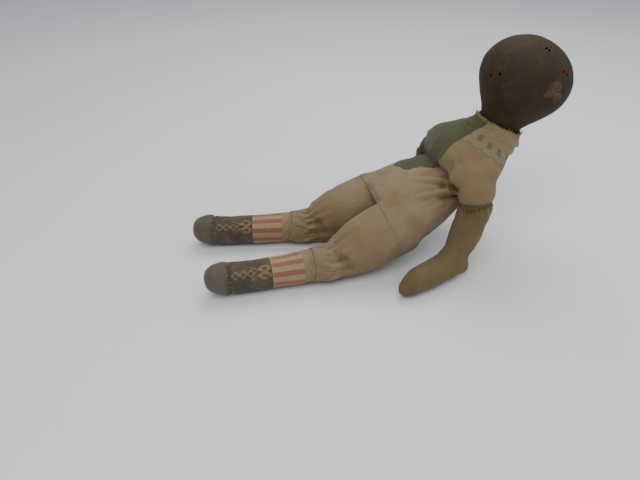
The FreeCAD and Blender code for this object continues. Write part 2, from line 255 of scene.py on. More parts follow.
def stuffed_skin(name, nodes, shrink=0.0, voxel=0.004, pressure=4.0, cap=0.004, frames=20, smooth=6, wads=()):
    """Cloth skin over CAD nodes: remeshed, smoothed, swollen by pressure, kept above the floor."""
    piece = joined_copy(name, nodes, wads)
    apply(piece, "REMESH", mode="VOXEL", voxel_size=voxel)
    biggest_part(piece)
    apply(piece, "SMOOTH", factor=0.5, iterations=smooth)
    if shrink:
        move(piece, lambda p, n: p - n * shrink)
    before = places(piece)
    cloth = piece.modifiers.new("Stuffing", "CLOTH")
    cloth.settings.use_pressure = True
    cloth.settings.uniform_pressure_force = pressure
    cloth.settings.effector_weights.gravity = 0
    cloth.settings.tension_stiffness = 25
    cloth.settings.compression_stiffness = 25
    cloth.settings.quality = 4
    cloth.collision_settings.use_collision = False
    cloth.point_cache.frame_start, cloth.point_cache.frame_end = 1, frames
    for step in range(1, frames + 1):
        scene.frame_set(step)
    swollen = piece.evaluated_get(bpy.context.evaluated_depsgraph_get()).to_mesh()
    after = [v.co.copy() for v in swollen.vertices]
    piece.modifiers.remove(cloth)
    scene.frame_set(1)
    for v, a, b in zip(piece.data.vertices, before, after):
        step = b - a
        v.co = a + (step * (cap / step.length) if step.length > cap else step)
    piece.data.update()
    apply(piece, "SUBSURF", levels=1, render_levels=1)
    move(piece, lambda p, n: Vector((p.x, p.y, max(p.z, 0.0002))))
    deselect()
    piece.select_set(True)
    bpy.ops.object.shade_smooth()
    moved = [(v.co - p).length for v, p in zip(piece.data.vertices, before)]
    print(f"{name}: {len(piece.data.polygons)} faces, moved up to {max(moved) * 1000:.1f} mm")
    return piece


# %% [markdown]
# ## One skin, cut where it is sewn
#
# Separate skins would meet in a deep trench. Real cloth runs on across a seam, so neighbours are remeshed and
# swollen together, and the result is cut in two on the seam's plane. Each part is closed inside.

# %% Cut at a seam
def half(piece, name, point, normal, keep_far):
    """A closed copy of the part of a piece on one side of a plane."""
    copy = bpy.data.objects.new(name, piece.data.copy())
    scene.collection.objects.link(copy)
    deselect()
    copy.select_set(True)
    bpy.context.view_layer.objects.active = copy
    bpy.ops.object.mode_set(mode="EDIT")
    bpy.ops.mesh.select_all(action="SELECT")
    bpy.ops.mesh.bisect(plane_co=point, plane_no=normal, use_fill=True, clear_inner=keep_far, clear_outer=not keep_far)
    bpy.ops.object.mode_set(mode="OBJECT")
    bpy.ops.object.shade_smooth_by_angle(angle=math.radians(60))
    return copy


# %% [markdown]
# ## Cloth that knows its own threads
#
# A weave, a stripe or a printed boot has to follow the cloth and not the room. Each skin therefore gets two
# numbers at every point: how far along the limb it is, and how far round it, both in metres.
# The materials read them as the attribute "cloth". Round the limb is counted from its front, so the
# place where the count jumps lies on the underside.

# %% Cloth attributes
def store(piece, name, kind, values):
    data = piece.data.attributes.new(name, kind, "POINT").data
    for item, value in zip(data, values):
        if kind == "FLOAT":
            item.value = value
        else:
            item.vector = value


def cloth_grid(piece, start, along, front, radius):
    """Stores "cloth": metres along the limb, and round it from the front, at its mean radius."""
    along = along.normalized()
    front = (front - along * front.dot(along)).normalized()
    side = along.cross(front)
    values = []
    for v in piece.data.vertices:
        d = v.co - start
        values.append((d.dot(along), math.atan2(d.dot(side), d.dot(front)) * radius, 0.0))
    store(piece, "cloth", "FLOAT_VECTOR", values)


def ripple(piece, amount, scale, seed):
    """Shallow unevenness of packed straw under the cloth."""
    def change(p, n):
        q = p * scale + Vector((seed, seed * 0.7, 0))
        return p + n * (noise.fractal(q, 0.6, 2.1, 3) * amount)
    move(piece, change)


# %% [markdown]
# ## Torso
#
# The torso is one bag with a sharp fold under the chest, where the doll has been bent for a long time.
# Folds of cloth run out from its near end. Each is a ridge in a fixed direction that fades with distance,
# so it is added by moving points out along their normals.

# %% Torso
HIP_SEAM, UP_BODY = Vector((0.0126, 0.002, 0.0596)), Vector((0.927, 0, 0.375))


def with_covers(*limbs):
    return [f"{limb}_{part}" for limb in limbs for part in ("front_cover", "back_cover", "stuffing")]


wads = [((0.1190, -0.0785, 0.1270), (0.0290, 0.0240, 0.0265), 0),
        ((0.1200, -0.0620, 0.1400), (0.0340, 0.0300, 0.0270), 0),
        ((0.1220, 0.0760, 0.1200), (0.0250, 0.0215, 0.0220), 0)]
wads.append((tuple(NECK - HEAD_AXIS * 0.013 + FRONT * 0.004), (0.043, 0.050, 0.016), 23))
wads.append(((0.0100, 0.003, 0.0765), (0.022, 0.030, 0.0205), -22))
whole_body = stuffed_skin("body", with_covers("torso", "thigh_left", "thigh_right"), shrink=0.0016,
                          voxel=0.0037, cap=0.0032, wads=wads)
ripple(whole_body, 0.0012, 22, 3.0)
torso = half(whole_body, "torso_skin", HIP_SEAM, UP_BODY, True)
bpy.data.objects.remove(whole_body)


FOLDS = [((0.096, -0.054, 0.115), (-0.050, 0.026, 0.002), 0.0038, 0.0051),
         ((0.092, -0.050, 0.116), (-0.058, 0.004, -0.006), 0.0036, 0.0045),
         ((0.096, -0.062, 0.112), (-0.046, -0.008, -0.016), 0.0040, 0.0039),
         ((0.084, -0.034, 0.125), (-0.040, 0.020, -0.002), 0.0034, 0.0036),
         ((0.090, -0.044, 0.119), (-0.044, 0.016, 0.000), 0.0030, 0.0033),
         ((0.078, -0.012, 0.130), (-0.030, 0.012, -0.006), 0.0036, 0.0024),
         ((0.098, 0.055, 0.115), (-0.048, -0.022, 0.002), 0.0040, 0.0042),
         ((0.092, 0.050, 0.117), (-0.052, 0.000, -0.006), 0.0036, 0.0039),
         ((0.100, -0.060, 0.124), (0.012, 0.006, 0.034), 0.0045, 0.0039),
         ((0.106, -0.070, 0.122), (0.020, -0.002, 0.026), 0.0042, 0.0036),
         ((0.092, -0.048, 0.124), (0.006, 0.008, 0.030), 0.0042, 0.0027),
         ((0.100, 0.060, 0.124), (0.016, -0.004, 0.032), 0.0045, 0.0036)]


def fold_out(p, n):
    """Adds every fold that passes near a point."""
    rise = 0.0
    for start, run, width, height in FOLDS:
        start, run = Vector(start), Vector(run)
        t = (p - start).dot(run) / run.length_squared
        if -0.2 < t < 1.2:
            off = (p - start - run * t).length
            fade = math.exp(-(off / width) ** 2) * max(0.0, 1 - t) * min(1.0, t * 4 + 1)
            rise += height * fade - 0.5 * height * math.exp(-((off - 2.0 * width) / width) ** 2) * max(0.0, 1 - t)
    return p + n * rise


move(torso, fold_out)
cloth_grid(torso, Vector((0, 0, 0.055)), Vector((0.17, 0, 0.123)), Vector((-0.58, 0, 0.81)), 0.065)
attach(torso, "torso")
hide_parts(*with_covers("torso"))

# %% [markdown]
# ## Legs
#
# Body, thigh and lower leg are swollen together on each side and then cut at the hip seam and at the knee.
# Stocking and boot are printed on one tube of cloth, so the lower leg is one skin. The count round it starts
# at the laces, which have turned towards the doll's left on both legs.
#
# The thigh's cloth is wider than the lower leg and is drawn in round it, so small pleats run back from the
# knee and fade out over 5 cm. They are a wave round the limb whose height grows towards the knee.

# %% Pleats
def pleats(count, height, start, along, front, reach, seed):
    """Pleats round a limb that fade out from start over reach."""
    along = along.normalized()
    front = (front - along * front.dot(along)).normalized()
    side = along.cross(front)

    def change(p, n):
        d = p - start
        far = -d.dot(along)
        fade = max(0.0, 1 - max(0.0, far) / reach) ** 1.6
        angle = math.atan2(d.dot(side), d.dot(front))
        sway = 1.5 * noise.noise(Vector((math.cos(angle), math.sin(angle), seed))) + far * 14
        wave = math.sin(count * angle + 2.2 * sway)
        strength = 0.65 + 0.5 * noise.noise(Vector((math.cos(angle) * 2, math.sin(angle) * 2, seed + 4)))
        return p + n * (height * fade * strength * (wave - 0.25))
    return change


# %% Thighs and lower legs
KNEE_CUT = 0.006
LACE_SIDE = Vector((0, -math.sin(math.radians(52)), math.cos(math.radians(52))))
TOE_SEAM = 0.143


def toe_seam(p, n, knee, along):
    """The toe is sewn on: the seam pulls in, and the toe stands a little proud of it."""
    off = (p - knee).dot(along) - TOE_SEAM - 0.0012 * math.sin(p.y * 300)
    return p - n * (0.0022 * math.exp(-(off / 0.0022) ** 2)) + n * (0.0009 * math.exp(-((off - 0.008) / 0.006) ** 2))


def above_floor(p, n):
    return Vector((p.x, p.y, max(p.z, 0.0002)))


thighs, legs = {}, {}
for side, sign in SIDES.items():
    knee, along, thigh_run = KNEE[side], LEG[side].normalized(), KNEE[side] - HIP[side]
    nodes = with_covers("torso", f"thigh_{side}", f"lower_leg_{side}") + [f"boot_toe_{side}"]
    limb = stuffed_skin(f"limb_{side}", nodes, shrink=0.0016, voxel=0.0036, cap=0.0026, smooth=5)
    ripple(limb, 0.0009, 26, 5.0 + sign)
    bpy.context.view_layer.update()
    upper = half(limb, f"upper_{side}", knee + along * KNEE_CUT, along, False)
    lower = half(limb, f"lower_leg_skin_{side}", knee + along * KNEE_CUT, along, True)
    thigh = half(upper, f"thigh_skin_{side}", HIP_SEAM + UP_BODY * 0.003, UP_BODY, False)
    for spare in (limb, upper):
        bpy.data.objects.remove(spare)
    move(thigh, pleats(13, 0.0026, knee, thigh_run, Vector((0, 0, 1)), 0.055, 3.0 + sign))
    move(lower, lambda p, n: toe_seam(p, n, knee, along))
    for piece in (thigh, lower):
        move(piece, above_floor)
    cloth_grid(thigh, HIP[side], thigh_run, Vector((0, 0, 1)), 0.042)
    cloth_grid(lower, knee, along, LACE_SIDE, 0.0245)
    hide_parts(*with_covers(f"thigh_{side}"))
    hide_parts(*with_covers(f"lower_leg_{side}"), f"boot_toe_{side}")
    thighs[side], legs[side] = thigh, lower

# %% [markdown]
# ## Arms
#
# Each arm is one long bag, sewn to the body at the shoulder and stitched across at the elbow. A wad of straw
# rounds the shoulder. The finished skin is cut across the upper arm, where nothing bends, into a top half and a
# lower half.

# %% Arms
def shoulder_seam(p, n, sign):
    """The seam round the top of the arm pulls in, and the cloth puckers on both sides of it."""
    d = p - Vector((0.110, sign * 0.085, 0.1095))
    off = d.dot(Vector((-0.28, 0, 0.96)))
    angle = math.atan2(d.y, d.x)
    pucker = math.sin(17 * angle + 3 * noise.noise(p * 60)) * math.exp(-(off / 0.010) ** 2)
    return p - n * (0.0024 * math.exp(-(off / 0.0024) ** 2)) + n * (0.0014 * pucker)


def tucked_elbow(p, side):
    """Draws in the back of the elbow, where the bag is slack."""
    back = -ARM[side]
    over = (p - ELBOW[side]).dot(back) - 0.004
    return p - back * (0.75 * over * max(0.0, min(1.0, (0.062 - p.z) / 0.03))) if over > 0 else p


arm_tops, forearms = {}, {}
for side, sign in SIDES.items():
    parts = with_covers(f"upper_arm_{side}", f"forearm_{side}")
    wads = [((0.1170, sign * 0.0820, 0.1090), (0.0238, 0.0195, 0.0200), 0),
            (tuple(ELBOW[side] + ARM[side] * 0.008 + Vector((0, 0, 0.010))), (0.021, 0.021, 0.021), 0)]
    arm = stuffed_skin(f"arm_skin_{side}", parts, shrink=0.0018, voxel=0.0036, cap=0.003, smooth=18, wads=wads)
    ripple(arm, 0.0012, 26, 11.0 + sign)
    move(arm, lambda p, n: tucked_elbow(shoulder_seam(p, n, sign), side))
    down = (ELBOW[side] - SHOULDER[side]).normalized()
    cut = SHOULDER[side] + down * 0.044
    arm_tops[side] = half(arm, f"arm_top_{side}", cut, down, False)
    forearms[side] = half(arm, f"forearm_skin_{side}", cut, down, True)
    bpy.data.objects.remove(arm)
    for piece in (arm_tops[side], forearms[side]):
        cloth_grid(piece, SHOULDER[side], down, Vector((-1, 0, 0)), 0.024)
    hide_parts(*(p for p in parts if "upper" in p))
    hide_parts(*(p for p in parts if "fore" in p))

# %% [markdown]
# ## Gathered cloth at the knees
#
# A separate ring of the thigh's cloth shows outside the lower leg: drawn up in pleats, with a raw edge. It is a
# tube whose rings are let down on to what lies under them, by looking outwards from the leg's axis, and then
# lifted in pleats.

# %% Sleeve maker
from mathutils.bvhtree import BVHTree


def tree_of(*pieces):
    """One search tree for the faces of several pieces."""
    points, faces = [], []
    for piece in pieces:
        start = len(points)
        points += [v.co.copy() for v in piece.data.vertices]
        faces += [tuple(start + k for k in p.vertices) for p in piece.data.polygons]
    return BVHTree.FromPolygons(points, faces)


def tube(name, start, along, length, around, rings, front):
    """An open tube round a line, made from Blender's cylinder, with even rings."""
    deselect()
    bpy.ops.mesh.primitive_cylinder_add(vertices=around, radius=1, depth=1, end_fill_type="NOTHING")
    piece = bpy.context.object
    piece.name = name
    bpy.ops.object.mode_set(mode="EDIT")
    bpy.ops.mesh.select_all(action="SELECT")
    bpy.ops.mesh.bisect(plane_co=(0, 0, 0), plane_no=(0, 0, 1))
    for k in range(1, rings):
        bpy.ops.mesh.select_all(action="SELECT")
        bpy.ops.mesh.bisect(plane_co=(0, 0, k / rings - 0.5 + 0.0001), plane_no=(0, 0, 1))
    bpy.ops.object.mode_set(mode="OBJECT")
    along = along.normalized()
    front = (front - along * front.dot(along)).normalized()
    side = along.cross(front)
    out = []
    for v in piece.data.vertices:
        t, angle = v.co.z + 0.5, math.atan2(v.co.y, v.co.x)
        radial = front * math.cos(angle) + side * math.sin(angle)
        v.co = start + along * (t * length) + radial * 0.03
        out.append((t, angle, radial))
    piece.data.update()
    return piece, out


def frays(name, edge, along, count, long, thin, seed, spread=0.5):
    """Loose threads at a raw edge: short bent three-sided hairs. edge(k) gives a place and its outward direction."""
    mesh = bmesh.new()
    for k in range(count):
        place, outward = edge(k / count)
        r = [noise.noise(Vector((k * 1.7 + 0.3, seed, j * 3.1))) for j in range(4)]
        run = (along * (0.6 + 0.5 * r[0]) + outward * (spread * (0.4 + 0.9 * r[1]))
               + along.cross(outward) * (1.1 * r[2])).normalized()
        bend = along.cross(outward) * (r[3] * 0.5) - outward * 0.25
        size = long * (0.7 + 0.9 * abs(r[1]))
        across = run.cross(outward).normalized()
        up = run.cross(across)
        last = None
        for j in range(4):
            t = j / 3
            centre = place + run * (size * t) + bend * (size * t * t)
            width = thin * (1 - 0.5 * t)
            ring = [mesh.verts.new(centre + (across * math.cos(a) + up * math.sin(a)) * width)
                    for a in (0.0, 2.094, 4.189)]
            if last:
                for m in range(3):
                    mesh.faces.new((last[m], last[(m + 1) % 3], ring[(m + 1) % 3], ring[m]))
            else:
                mesh.faces.new(ring)
            last = ring
        mesh.faces.new(last)
    bmesh.ops.recalc_face_normals(mesh, faces=mesh.faces)
    data = bpy.data.meshes.new(name)
    mesh.to_mesh(data)
    mesh.free()
    piece = bpy.data.objects.new(name, data)
    scene.collection.objects.link(piece)
    return piece


# %% Knee gathers
sleeves = {}
for side, sign in SIDES.items():
    under = tree_of(thighs[side], legs[side])
    along = LEG[side].normalized()
    start = KNEE[side] + along * -0.012
    sleeve, rays = tube(f"knee_gathers_{side}", start, along, 0.037, 168, 14, Vector((0, 0, 1)))
    wide = {}
    for v, (t, angle, radial) in zip(sleeve.data.vertices, rays):
        axis = start + along * (t * 0.037)
        hit = under.ray_cast(axis + radial * 0.075, -radial)
        reach = (hit[0] - axis).length if hit[0] else 0.027
        reach = min(max(reach, 0.022), 0.0335)
        sway = 1.2 * noise.noise(Vector((math.cos(angle) * 1.3, math.sin(angle) * 1.3, t * 1.4 + sign)))
        wave = math.sin(11 * angle + 5.0 * sway) + 0.6 * math.sin(23 * angle + 9 * sway + sign)
        high = 0.0004 + 0.0024 * (1 - abs(2 * t - 0.9)) * (0.7 + noise.noise(Vector((angle * 2, t * 2, sign))))
        ragged = (0.0022 * noise.noise(Vector((angle * 3, sign, 2.0)))
                  + 0.001 * noise.noise(Vector((angle * 14, sign, 5.0))))
        tucked = 0.0022 * max(0.0, 1 - t / 0.3)
        v.co = axis + along * (ragged * t) + radial * (reach - tucked + 0.0002 + high * (0.5 + 0.5 * wave))
        v.co.z = max(v.co.z, 0.0003)
    sleeve.data.update()
    apply(sleeve, "SOLIDIFY", thickness=0.0007, offset=1.0)
    apply(sleeve, "SUBSURF", levels=1, render_levels=1)
    deselect()
    sleeve.select_set(True)
    bpy.ops.object.shade_smooth()
    cloth_grid(sleeve, KNEE[side], along, Vector((0, 0, 1)), 0.028)
    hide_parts(f"knee_hem_{side}")
    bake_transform(sleeve)
    rim = tree_of(sleeve)

    def knee_edge(t, rim=rim, along=along, knee=KNEE[side]):
        a = t * math.tau
        across = Vector((0, 0, 1)).cross(along)
        radial = Vector((0, 0, 1)) * math.cos(a) + across * math.sin(a)
        axis = knee + along * 0.0235
        hit = rim.ray_cast(axis + radial * 0.07, -radial)
        place = hit[0] if hit[0] else axis + radial * 0.028
        return Vector((place.x, place.y, max(place.z, 0.0012))), radial
    threads = frays(f"knee_frays_{side}", knee_edge, along, 110, 0.0042, 0.00022, 3.0 + sign, 0.25)
    move(threads, lambda p, n: Vector((p.x, p.y, max(p.z, 0.0002))))
    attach(threads, f"lower_leg_{side}")
    sleeves[side] = (sleeve, threads)
    print(sleeve.name, len(sleeve.data.polygons), "faces,", threads.name, len(threads.data.polygons))

# %% [markdown]
# ## Neck cloth
#
# The body's cloth is drawn up round the neck of the hollow head and left raw, so its edge is loose threads.
# The ring starts flat on the shoulders and turns up along the neck.

# %% Neck cloth
PROFILE = [(0.0430, -0.0035), (0.0405, -0.0005), (0.0380, 0.0020), (0.0360, 0.0042), (0.0346, 0.0062),
           (0.0338, 0.0080), (0.0335, 0.0098), (0.0337, 0.0114), (0.0342, 0.0128)]
neck_cloth, rays = tube("neck_cloth", NECK, HEAD_AXIS, 0.02, 220, len(PROFILE) - 1, FRONT)
for v, (t, angle, radial) in zip(neck_cloth.data.vertices, rays):
    k = min(int(t * (len(PROFILE) - 1)), len(PROFILE) - 2)
    f = t * (len(PROFILE) - 1) - k
    r = PROFILE[k][0] * (1 - f) + PROFILE[k + 1][0] * f
    s = PROFILE[k][1] * (1 - f) + PROFILE[k + 1][1] * f
    sway = noise.noise(Vector((math.cos(angle) * 1.5, math.sin(angle) * 1.5, t)))
    wave = math.sin(26 * angle + 4 * sway) + 0.6 * math.sin(41 * angle + 6 * sway)
    r += 0.0006 * wave * min(1.0, t * 3) + 0.0010 * sway * t
    ragged = noise.noise(Vector((math.cos(angle) * 2.2, math.sin(angle) * 2.2, 7.0)))
    s += 0.0030 * t * ragged + 0.0007 * t * math.sin(60 * angle)
    r -= 0.0040 * (1 - t) * max(0.0, -math.cos(angle))
    v.co = NECK + HEAD_AXIS * s + radial * r
neck_cloth.data.update()
apply(neck_cloth, "SOLIDIFY", thickness=0.0008, offset=1.0)
apply(neck_cloth, "SUBSURF", levels=1, render_levels=1)
deselect()
neck_cloth.select_set(True)
bpy.ops.object.shade_smooth()
cloth_grid(neck_cloth, NECK, HEAD_AXIS, FRONT, 0.036)
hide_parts("neck_cuff")
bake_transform(neck_cloth)


def neck_edge(t):
    a = t * math.tau
    radial = FRONT * math.cos(a) + HEAD_AXIS.cross(FRONT) * math.sin(a)
    lift = 0.0118 + 0.0030 * noise.noise(Vector((math.cos(a) * 2.2, math.sin(a) * 2.2, 7.0)))
    return NECK + HEAD_AXIS * lift + radial * 0.0346, radial


neck_frays = frays("neck_frays", neck_edge, HEAD_AXIS, 210, 0.0040, 0.00024, 9.0, 0.8)
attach(neck_frays, "neck")
print("neck cloth", len(neck_cloth.data.polygons), "faces")

# %% [markdown]
# ## Head
#
# The head is a hard hollow shell, hand made, so it isn't quite a turned form. A fine copy of the CAD shell is
# pushed about by slow noise, given a few flats, and pierced again by the small holes that held a wig.

# %% Head
WIG_HOLES = [(-12, 0.068), (-24, 0.075), (-61, 0.126), (-68, 0.125), (-99, 0.109), (-107, 0.107),
             (75, 0.090), (83, 0.089)]


def head_place(angle, s, r):
    a = math.radians(angle)
    return NECK + HEAD_AXIS * s + (FRONT * math.cos(a) + Vector((0, 1, 0)) * math.sin(a)) * r


head = joined_copy("head_surface", ["head_shell"])
apply(head, "REMESH", mode="VOXEL", voxel_size=0.0017)
apply(head, "SMOOTH", factor=0.5, iterations=8)
FLATS = [(head_place(-60, 0.118, 0.040), 0.030, 0.0016), (head_place(-100, 0.050, 0.052), 0.018, 0.0012),
         (head_place(-40, 0.060, 0.058), 0.022, -0.0008), (head_place(-98, 0.085, 0.061), 0.014, 0.0009)]


def hand_made(p, n):
    q = p * 18 + Vector((4.0, 2.0, 9.0))
    rise = 0.0011 * noise.fractal(q, 0.9, 2.0, 3)
    for centre, reach, depth in FLATS:
        rise -= depth * math.exp(-((p - centre).length / reach) ** 2)
    return p + n * rise


move(head, hand_made)
cutters = []
for angle, s in WIG_HOLES:
    inner, outer = head_place(angle, s - 0.004, 0.012), head_place(angle, s, 0.075)
    run = outer - inner
    deselect()
    bpy.ops.mesh.primitive_cone_add(vertices=11, radius1=0.0011, radius2=0.0024, depth=run.length,
                                    location=(inner + outer) / 2, rotation=run.to_track_quat("Z", "Y").to_euler())
    cutters.append(bpy.context.object)
deselect()
for cutter in cutters:
    cutter.select_set(True)
bpy.context.view_layer.objects.active = cutters[0]
bpy.ops.object.join()
cutter = bpy.context.object
apply(head, "BOOLEAN", operation="DIFFERENCE", solver="EXACT", object=cutter)
bpy.data.objects.remove(cutter)
deselect()
head.select_set(True)
bpy.context.view_layer.objects.active = head
bpy.ops.object.shade_smooth_by_angle(angle=math.radians(50))
holes = [head_place(angle, s, 0.062 if s < 0.1 else (0.0275 if s > 0.12 else 0.0525)) for angle, s in WIG_HOLES]
RUST_REACH = 0.0042
store(head, "rust", "FLOAT", [max(math.exp(-((v.co - h).length / RUST_REACH) ** 2) for h in holes)
                              for v in head.data.vertices])
# Centres of the pale patch on the head: rubbed varnish, with a painted highlight over it.
wear_and_highlight = [(head_place(-94, 0.088, 0.060), 0.013), (head_place(-104, 0.078, 0.061), 0.010),
        (head_place(-88, 0.078, 0.0615), 0.009)]
store(head, "wear_and_highlight", "FLOAT", [max(math.exp(-((v.co - c).length / r) ** 2) for c, r in wear_and_highlight)
                              for v in head.data.vertices])
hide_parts("head_shell")
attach(head, "head")
print("head", len(head.data.polygons), "faces,", len(WIG_HOLES), "holes")

# %% [markdown]
# ## Stitches
#
# One stitch is modelled once: two plies of thread laid in a low arch whose ends go into the cloth. A copy is
# put at every CAD stitch, let down on to the skin under it.

# %% Stitches
def stitch_shape():
    """Points and faces of one stitch, along X, 1 long, its ends at height 0."""
    points, faces = [], []
    for ply in (0.0, math.pi):
        first = len(points)
        for j in range(9):
            t = j / 8
            height = 0.16 * math.sin(math.pi * t) - 0.06
            turn = ply + t * 9.0
            centre = Vector((t - 0.5, 0.055 * math.cos(turn), height + 0.055 * math.sin(turn)))
            for m in range(6):
                a = math.tau * m / 6
                points.append(centre + Vector((0, math.cos(a), math.sin(a))) * 0.065)
            if j:
                for m in range(6):
                    a, b = first + (j - 1) * 6 + m, first + (j - 1) * 6 + (m + 1) % 6
                    faces.append((a, b, b + 6, a + 6))
        faces.append(tuple(first + m for m in reversed(range(6))))
        faces.append(tuple(first + 48 + m for m in range(6)))
    return points, faces


def stitches(name, node, skins, body, long=0.0062):
    """A modelled stitch at each solid of a CAD node of stitches."""
    source = joined_copy("stitch_places", [node])
    mesh = bmesh.new()
    mesh.from_mesh(source.data)
    left, spots = set(mesh.verts), []
    while left:
        todo = [left.pop()]
        part = list(todo)
        while todo:
            for edge in todo.pop().link_edges:
                for v in edge.verts:
                    if v in left:
                        left.discard(v)
                        part.append(v)
                        todo.append(v)
        middle = sum((v.co for v in part), Vector()) / len(part)
        far = max(part, key=lambda v: (v.co - middle).length).co - middle
        spots.append((middle, far.normalized()))
    mesh.free()
    bpy.data.objects.remove(source)
    under, shape, faces = tree_of(*skins), *stitch_shape()
    points, all_faces = [], []
    for number, (middle, run) in enumerate(sorted(spots, key=lambda s: tuple(round(c, 5) for c in s[0]))):
        place, outward, *_ = under.find_nearest(middle)
        run = (run - outward * run.dot(outward)).normalized()
        run = (run + outward.cross(run) * (0.35 * noise.noise(Vector((number, 1.5, 2.5))))).normalized()
        size = long * (1 + 0.3 * noise.noise(Vector((number, 4.5, 0.5))))
        turn = Matrix((run, outward.cross(run), outward)).transposed()
        first = len(points)
        points += [place + turn @ (p * size) for p in shape]
        all_faces += [tuple(first + k for k in f) for f in faces]
    data = bpy.data.meshes.new(name)
    data.from_pydata(points, [], all_faces)
    piece = bpy.data.objects.new(name, data)
    scene.collection.objects.link(piece)
    deselect()
    piece.select_set(True)
    bpy.context.view_layer.objects.active = piece
    bpy.ops.object.mode_set(mode="EDIT")
    bpy.ops.mesh.select_all(action="SELECT")
    bpy.ops.mesh.normals_make_consistent(inside=False)
    bpy.ops.object.mode_set(mode="OBJECT")
    bpy.ops.object.shade_smooth()
    move(piece, lambda p, n: Vector((p.x, p.y, max(p.z, 0.0002))))
    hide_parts(node)
    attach(piece, body)
    print(name, len(spots), "stitches")
    return piece


threads = []
for side in SIDES:
    threads.append(stitches(f"toe_stitches_{side}", f"boot_stitches_{side}", [legs[side]], f"lower_leg_{side}", 0.0058))
    threads.append(stitches(f"shoulder_thread_{side}", f"shoulder_stitches_{side}", [arm_tops[side]],
                            f"upper_arm_{side}", 0.0045))
    threads.append(stitches(f"side_thread_{side}", f"torso_side_stitches_{side}", [torso], "torso", 0.0045))

# %% [markdown]
# ## Seams and painted shade
#
# Painted shade darkens the cloth where two parts meet and in the bottoms of folds, and a sewn seam is a thin
# dark line. Both are one number at each point: near 1 on a seam or against a neighbour, fading to 0. The
# cotton's material darkens with it.

# %% Seam attribute
def near_lines(p, lines, width):
    """1 on any of the lines, fading over width."""
    best = 1.0
    for line in lines:
        for a, b in zip(line, line[1:]):
            run = b - a
            t = max(0.0, min(1.0, (p - a).dot(run) / run.length_squared))
            best = min(best, (p - a - run * t).length)
    return math.exp(-(best / width) ** 2)


def seams_and_contact_shade(piece, lines, neighbours=(), reach=0.004, strength=0.8, width=0.0011):
    """Stores "seam": sewn lines and painted shade near neighbours, and cuts a shallow groove along each sewn line."""
    lines = [[Vector(p) for p in line] for line in lines]
    trees = [tree_of(n) for n in neighbours]
    marks = []
    for v in piece.data.vertices:
        line = near_lines(v.co, lines, width) if lines else 0.0
        # painted shade: darker where another part lies within reach
        contact_shade = 0.0
        for tree in trees:
            hit = tree.find_nearest(v.co, reach * 2.5)
            if hit[0]:
                contact_shade = max(contact_shade, math.exp(-(hit[3] / reach) ** 2))
        marks.append(max(line * 0.85, contact_shade * strength))
    if lines:
        move(piece, lambda p, n: p - n * (0.0010 * near_lines(p, lines, width * 1.3)))
    store(piece, "seam", "FLOAT", marks)


DART = [(0.0284, -0.0625, 0.100), (0.0318, -0.071, 0.089), (0.0366, -0.078, 0.076)]


def plane_seam(piece, point, normal, width, depth):
    """A sewn seam on a plane: pulls the cloth in and returns how near each point is."""
    marks = [0.32 * math.exp(-((v.co - point).dot(normal) / width) ** 2) for v in piece.data.vertices]
    move(piece, lambda p, n: p - n * (depth * math.exp(-((p - point).dot(normal) / (width * 1.4)) ** 2)))
    return marks


def add_marks(piece, marks):
    for item, mark in zip(piece.data.attributes["seam"].data, marks):
        item.value = max(item.value, mark)


# Seam line of the dart, and painted shade on the body where the arms lie close.
seams_and_contact_shade(torso, [DART], [arm_tops["left"], arm_tops["right"]], 0.0025)
add_marks(torso, plane_seam(torso, HIP_SEAM, UP_BODY, 0.0009, 0.0002))
for side in SIDES:
    seams_and_contact_shade(thighs[side], [], [])
    add_marks(thighs[side], plane_seam(thighs[side], HIP_SEAM, UP_BODY, 0.0009, 0.0002))
    # painted shade on the arm where it meets the body
    seams_and_contact_shade(arm_tops[side], [], [torso], 0.0028)
    seams_and_contact_shade(forearms[side], [], [])
    # painted shade on the lower leg under the knee gathers
    seams_and_contact_shade(legs[side], [], [sleeves[side][0]], 0.0022, 0.6)
    seams_and_contact_shade(sleeves[side][0], [], [])
seams_and_contact_shade(neck_cloth, [], [])


def painted_fold_shade(piece, depth=0.0016, rounds=14, strength=0.65):
    """How far each point lies below a smoothed copy of its surface: painted shade in the bottoms of folds."""
    mesh = bmesh.new()
    mesh.from_mesh(piece.data)
    start = [v.co.copy() for v in mesh.verts]
    for _ in range(rounds):
        bmesh.ops.smooth_vert(mesh, verts=mesh.verts, factor=1.0, use_axis_x=True, use_axis_y=True, use_axis_z=True)
    mesh.verts.ensure_lookup_table()
    marks = [strength * max(0.0, min(1.0, (v.co - p).dot(o.normal) / depth))
             for v, p, o in zip(mesh.verts, start, piece.data.vertices)]
    mesh.free()
    add_marks(piece, marks)


# Painted shade in the bottoms of folds and pleats, added to the seam marks.
for piece in [torso, *thighs.values(), *legs.values(), *arm_tops.values(), *forearms.values()]:
    painted_fold_shade(piece)
for sleeve, _ in sleeves.values():
    painted_fold_shade(sleeve, 0.0008, 6, 0.8)

# %% [markdown]
# ## Dye and printed collar on the chest
#
# The far half of the chest keeps the dark green of a printed bodice, and a scalloped lace collar is
# printed round the neck. Both are patterns laid out in the neck's own plane, so the cloth stores how far each
# point is from the neck, in a plane that is squeezed to follow the collar's oval, and how far it is on the green side.

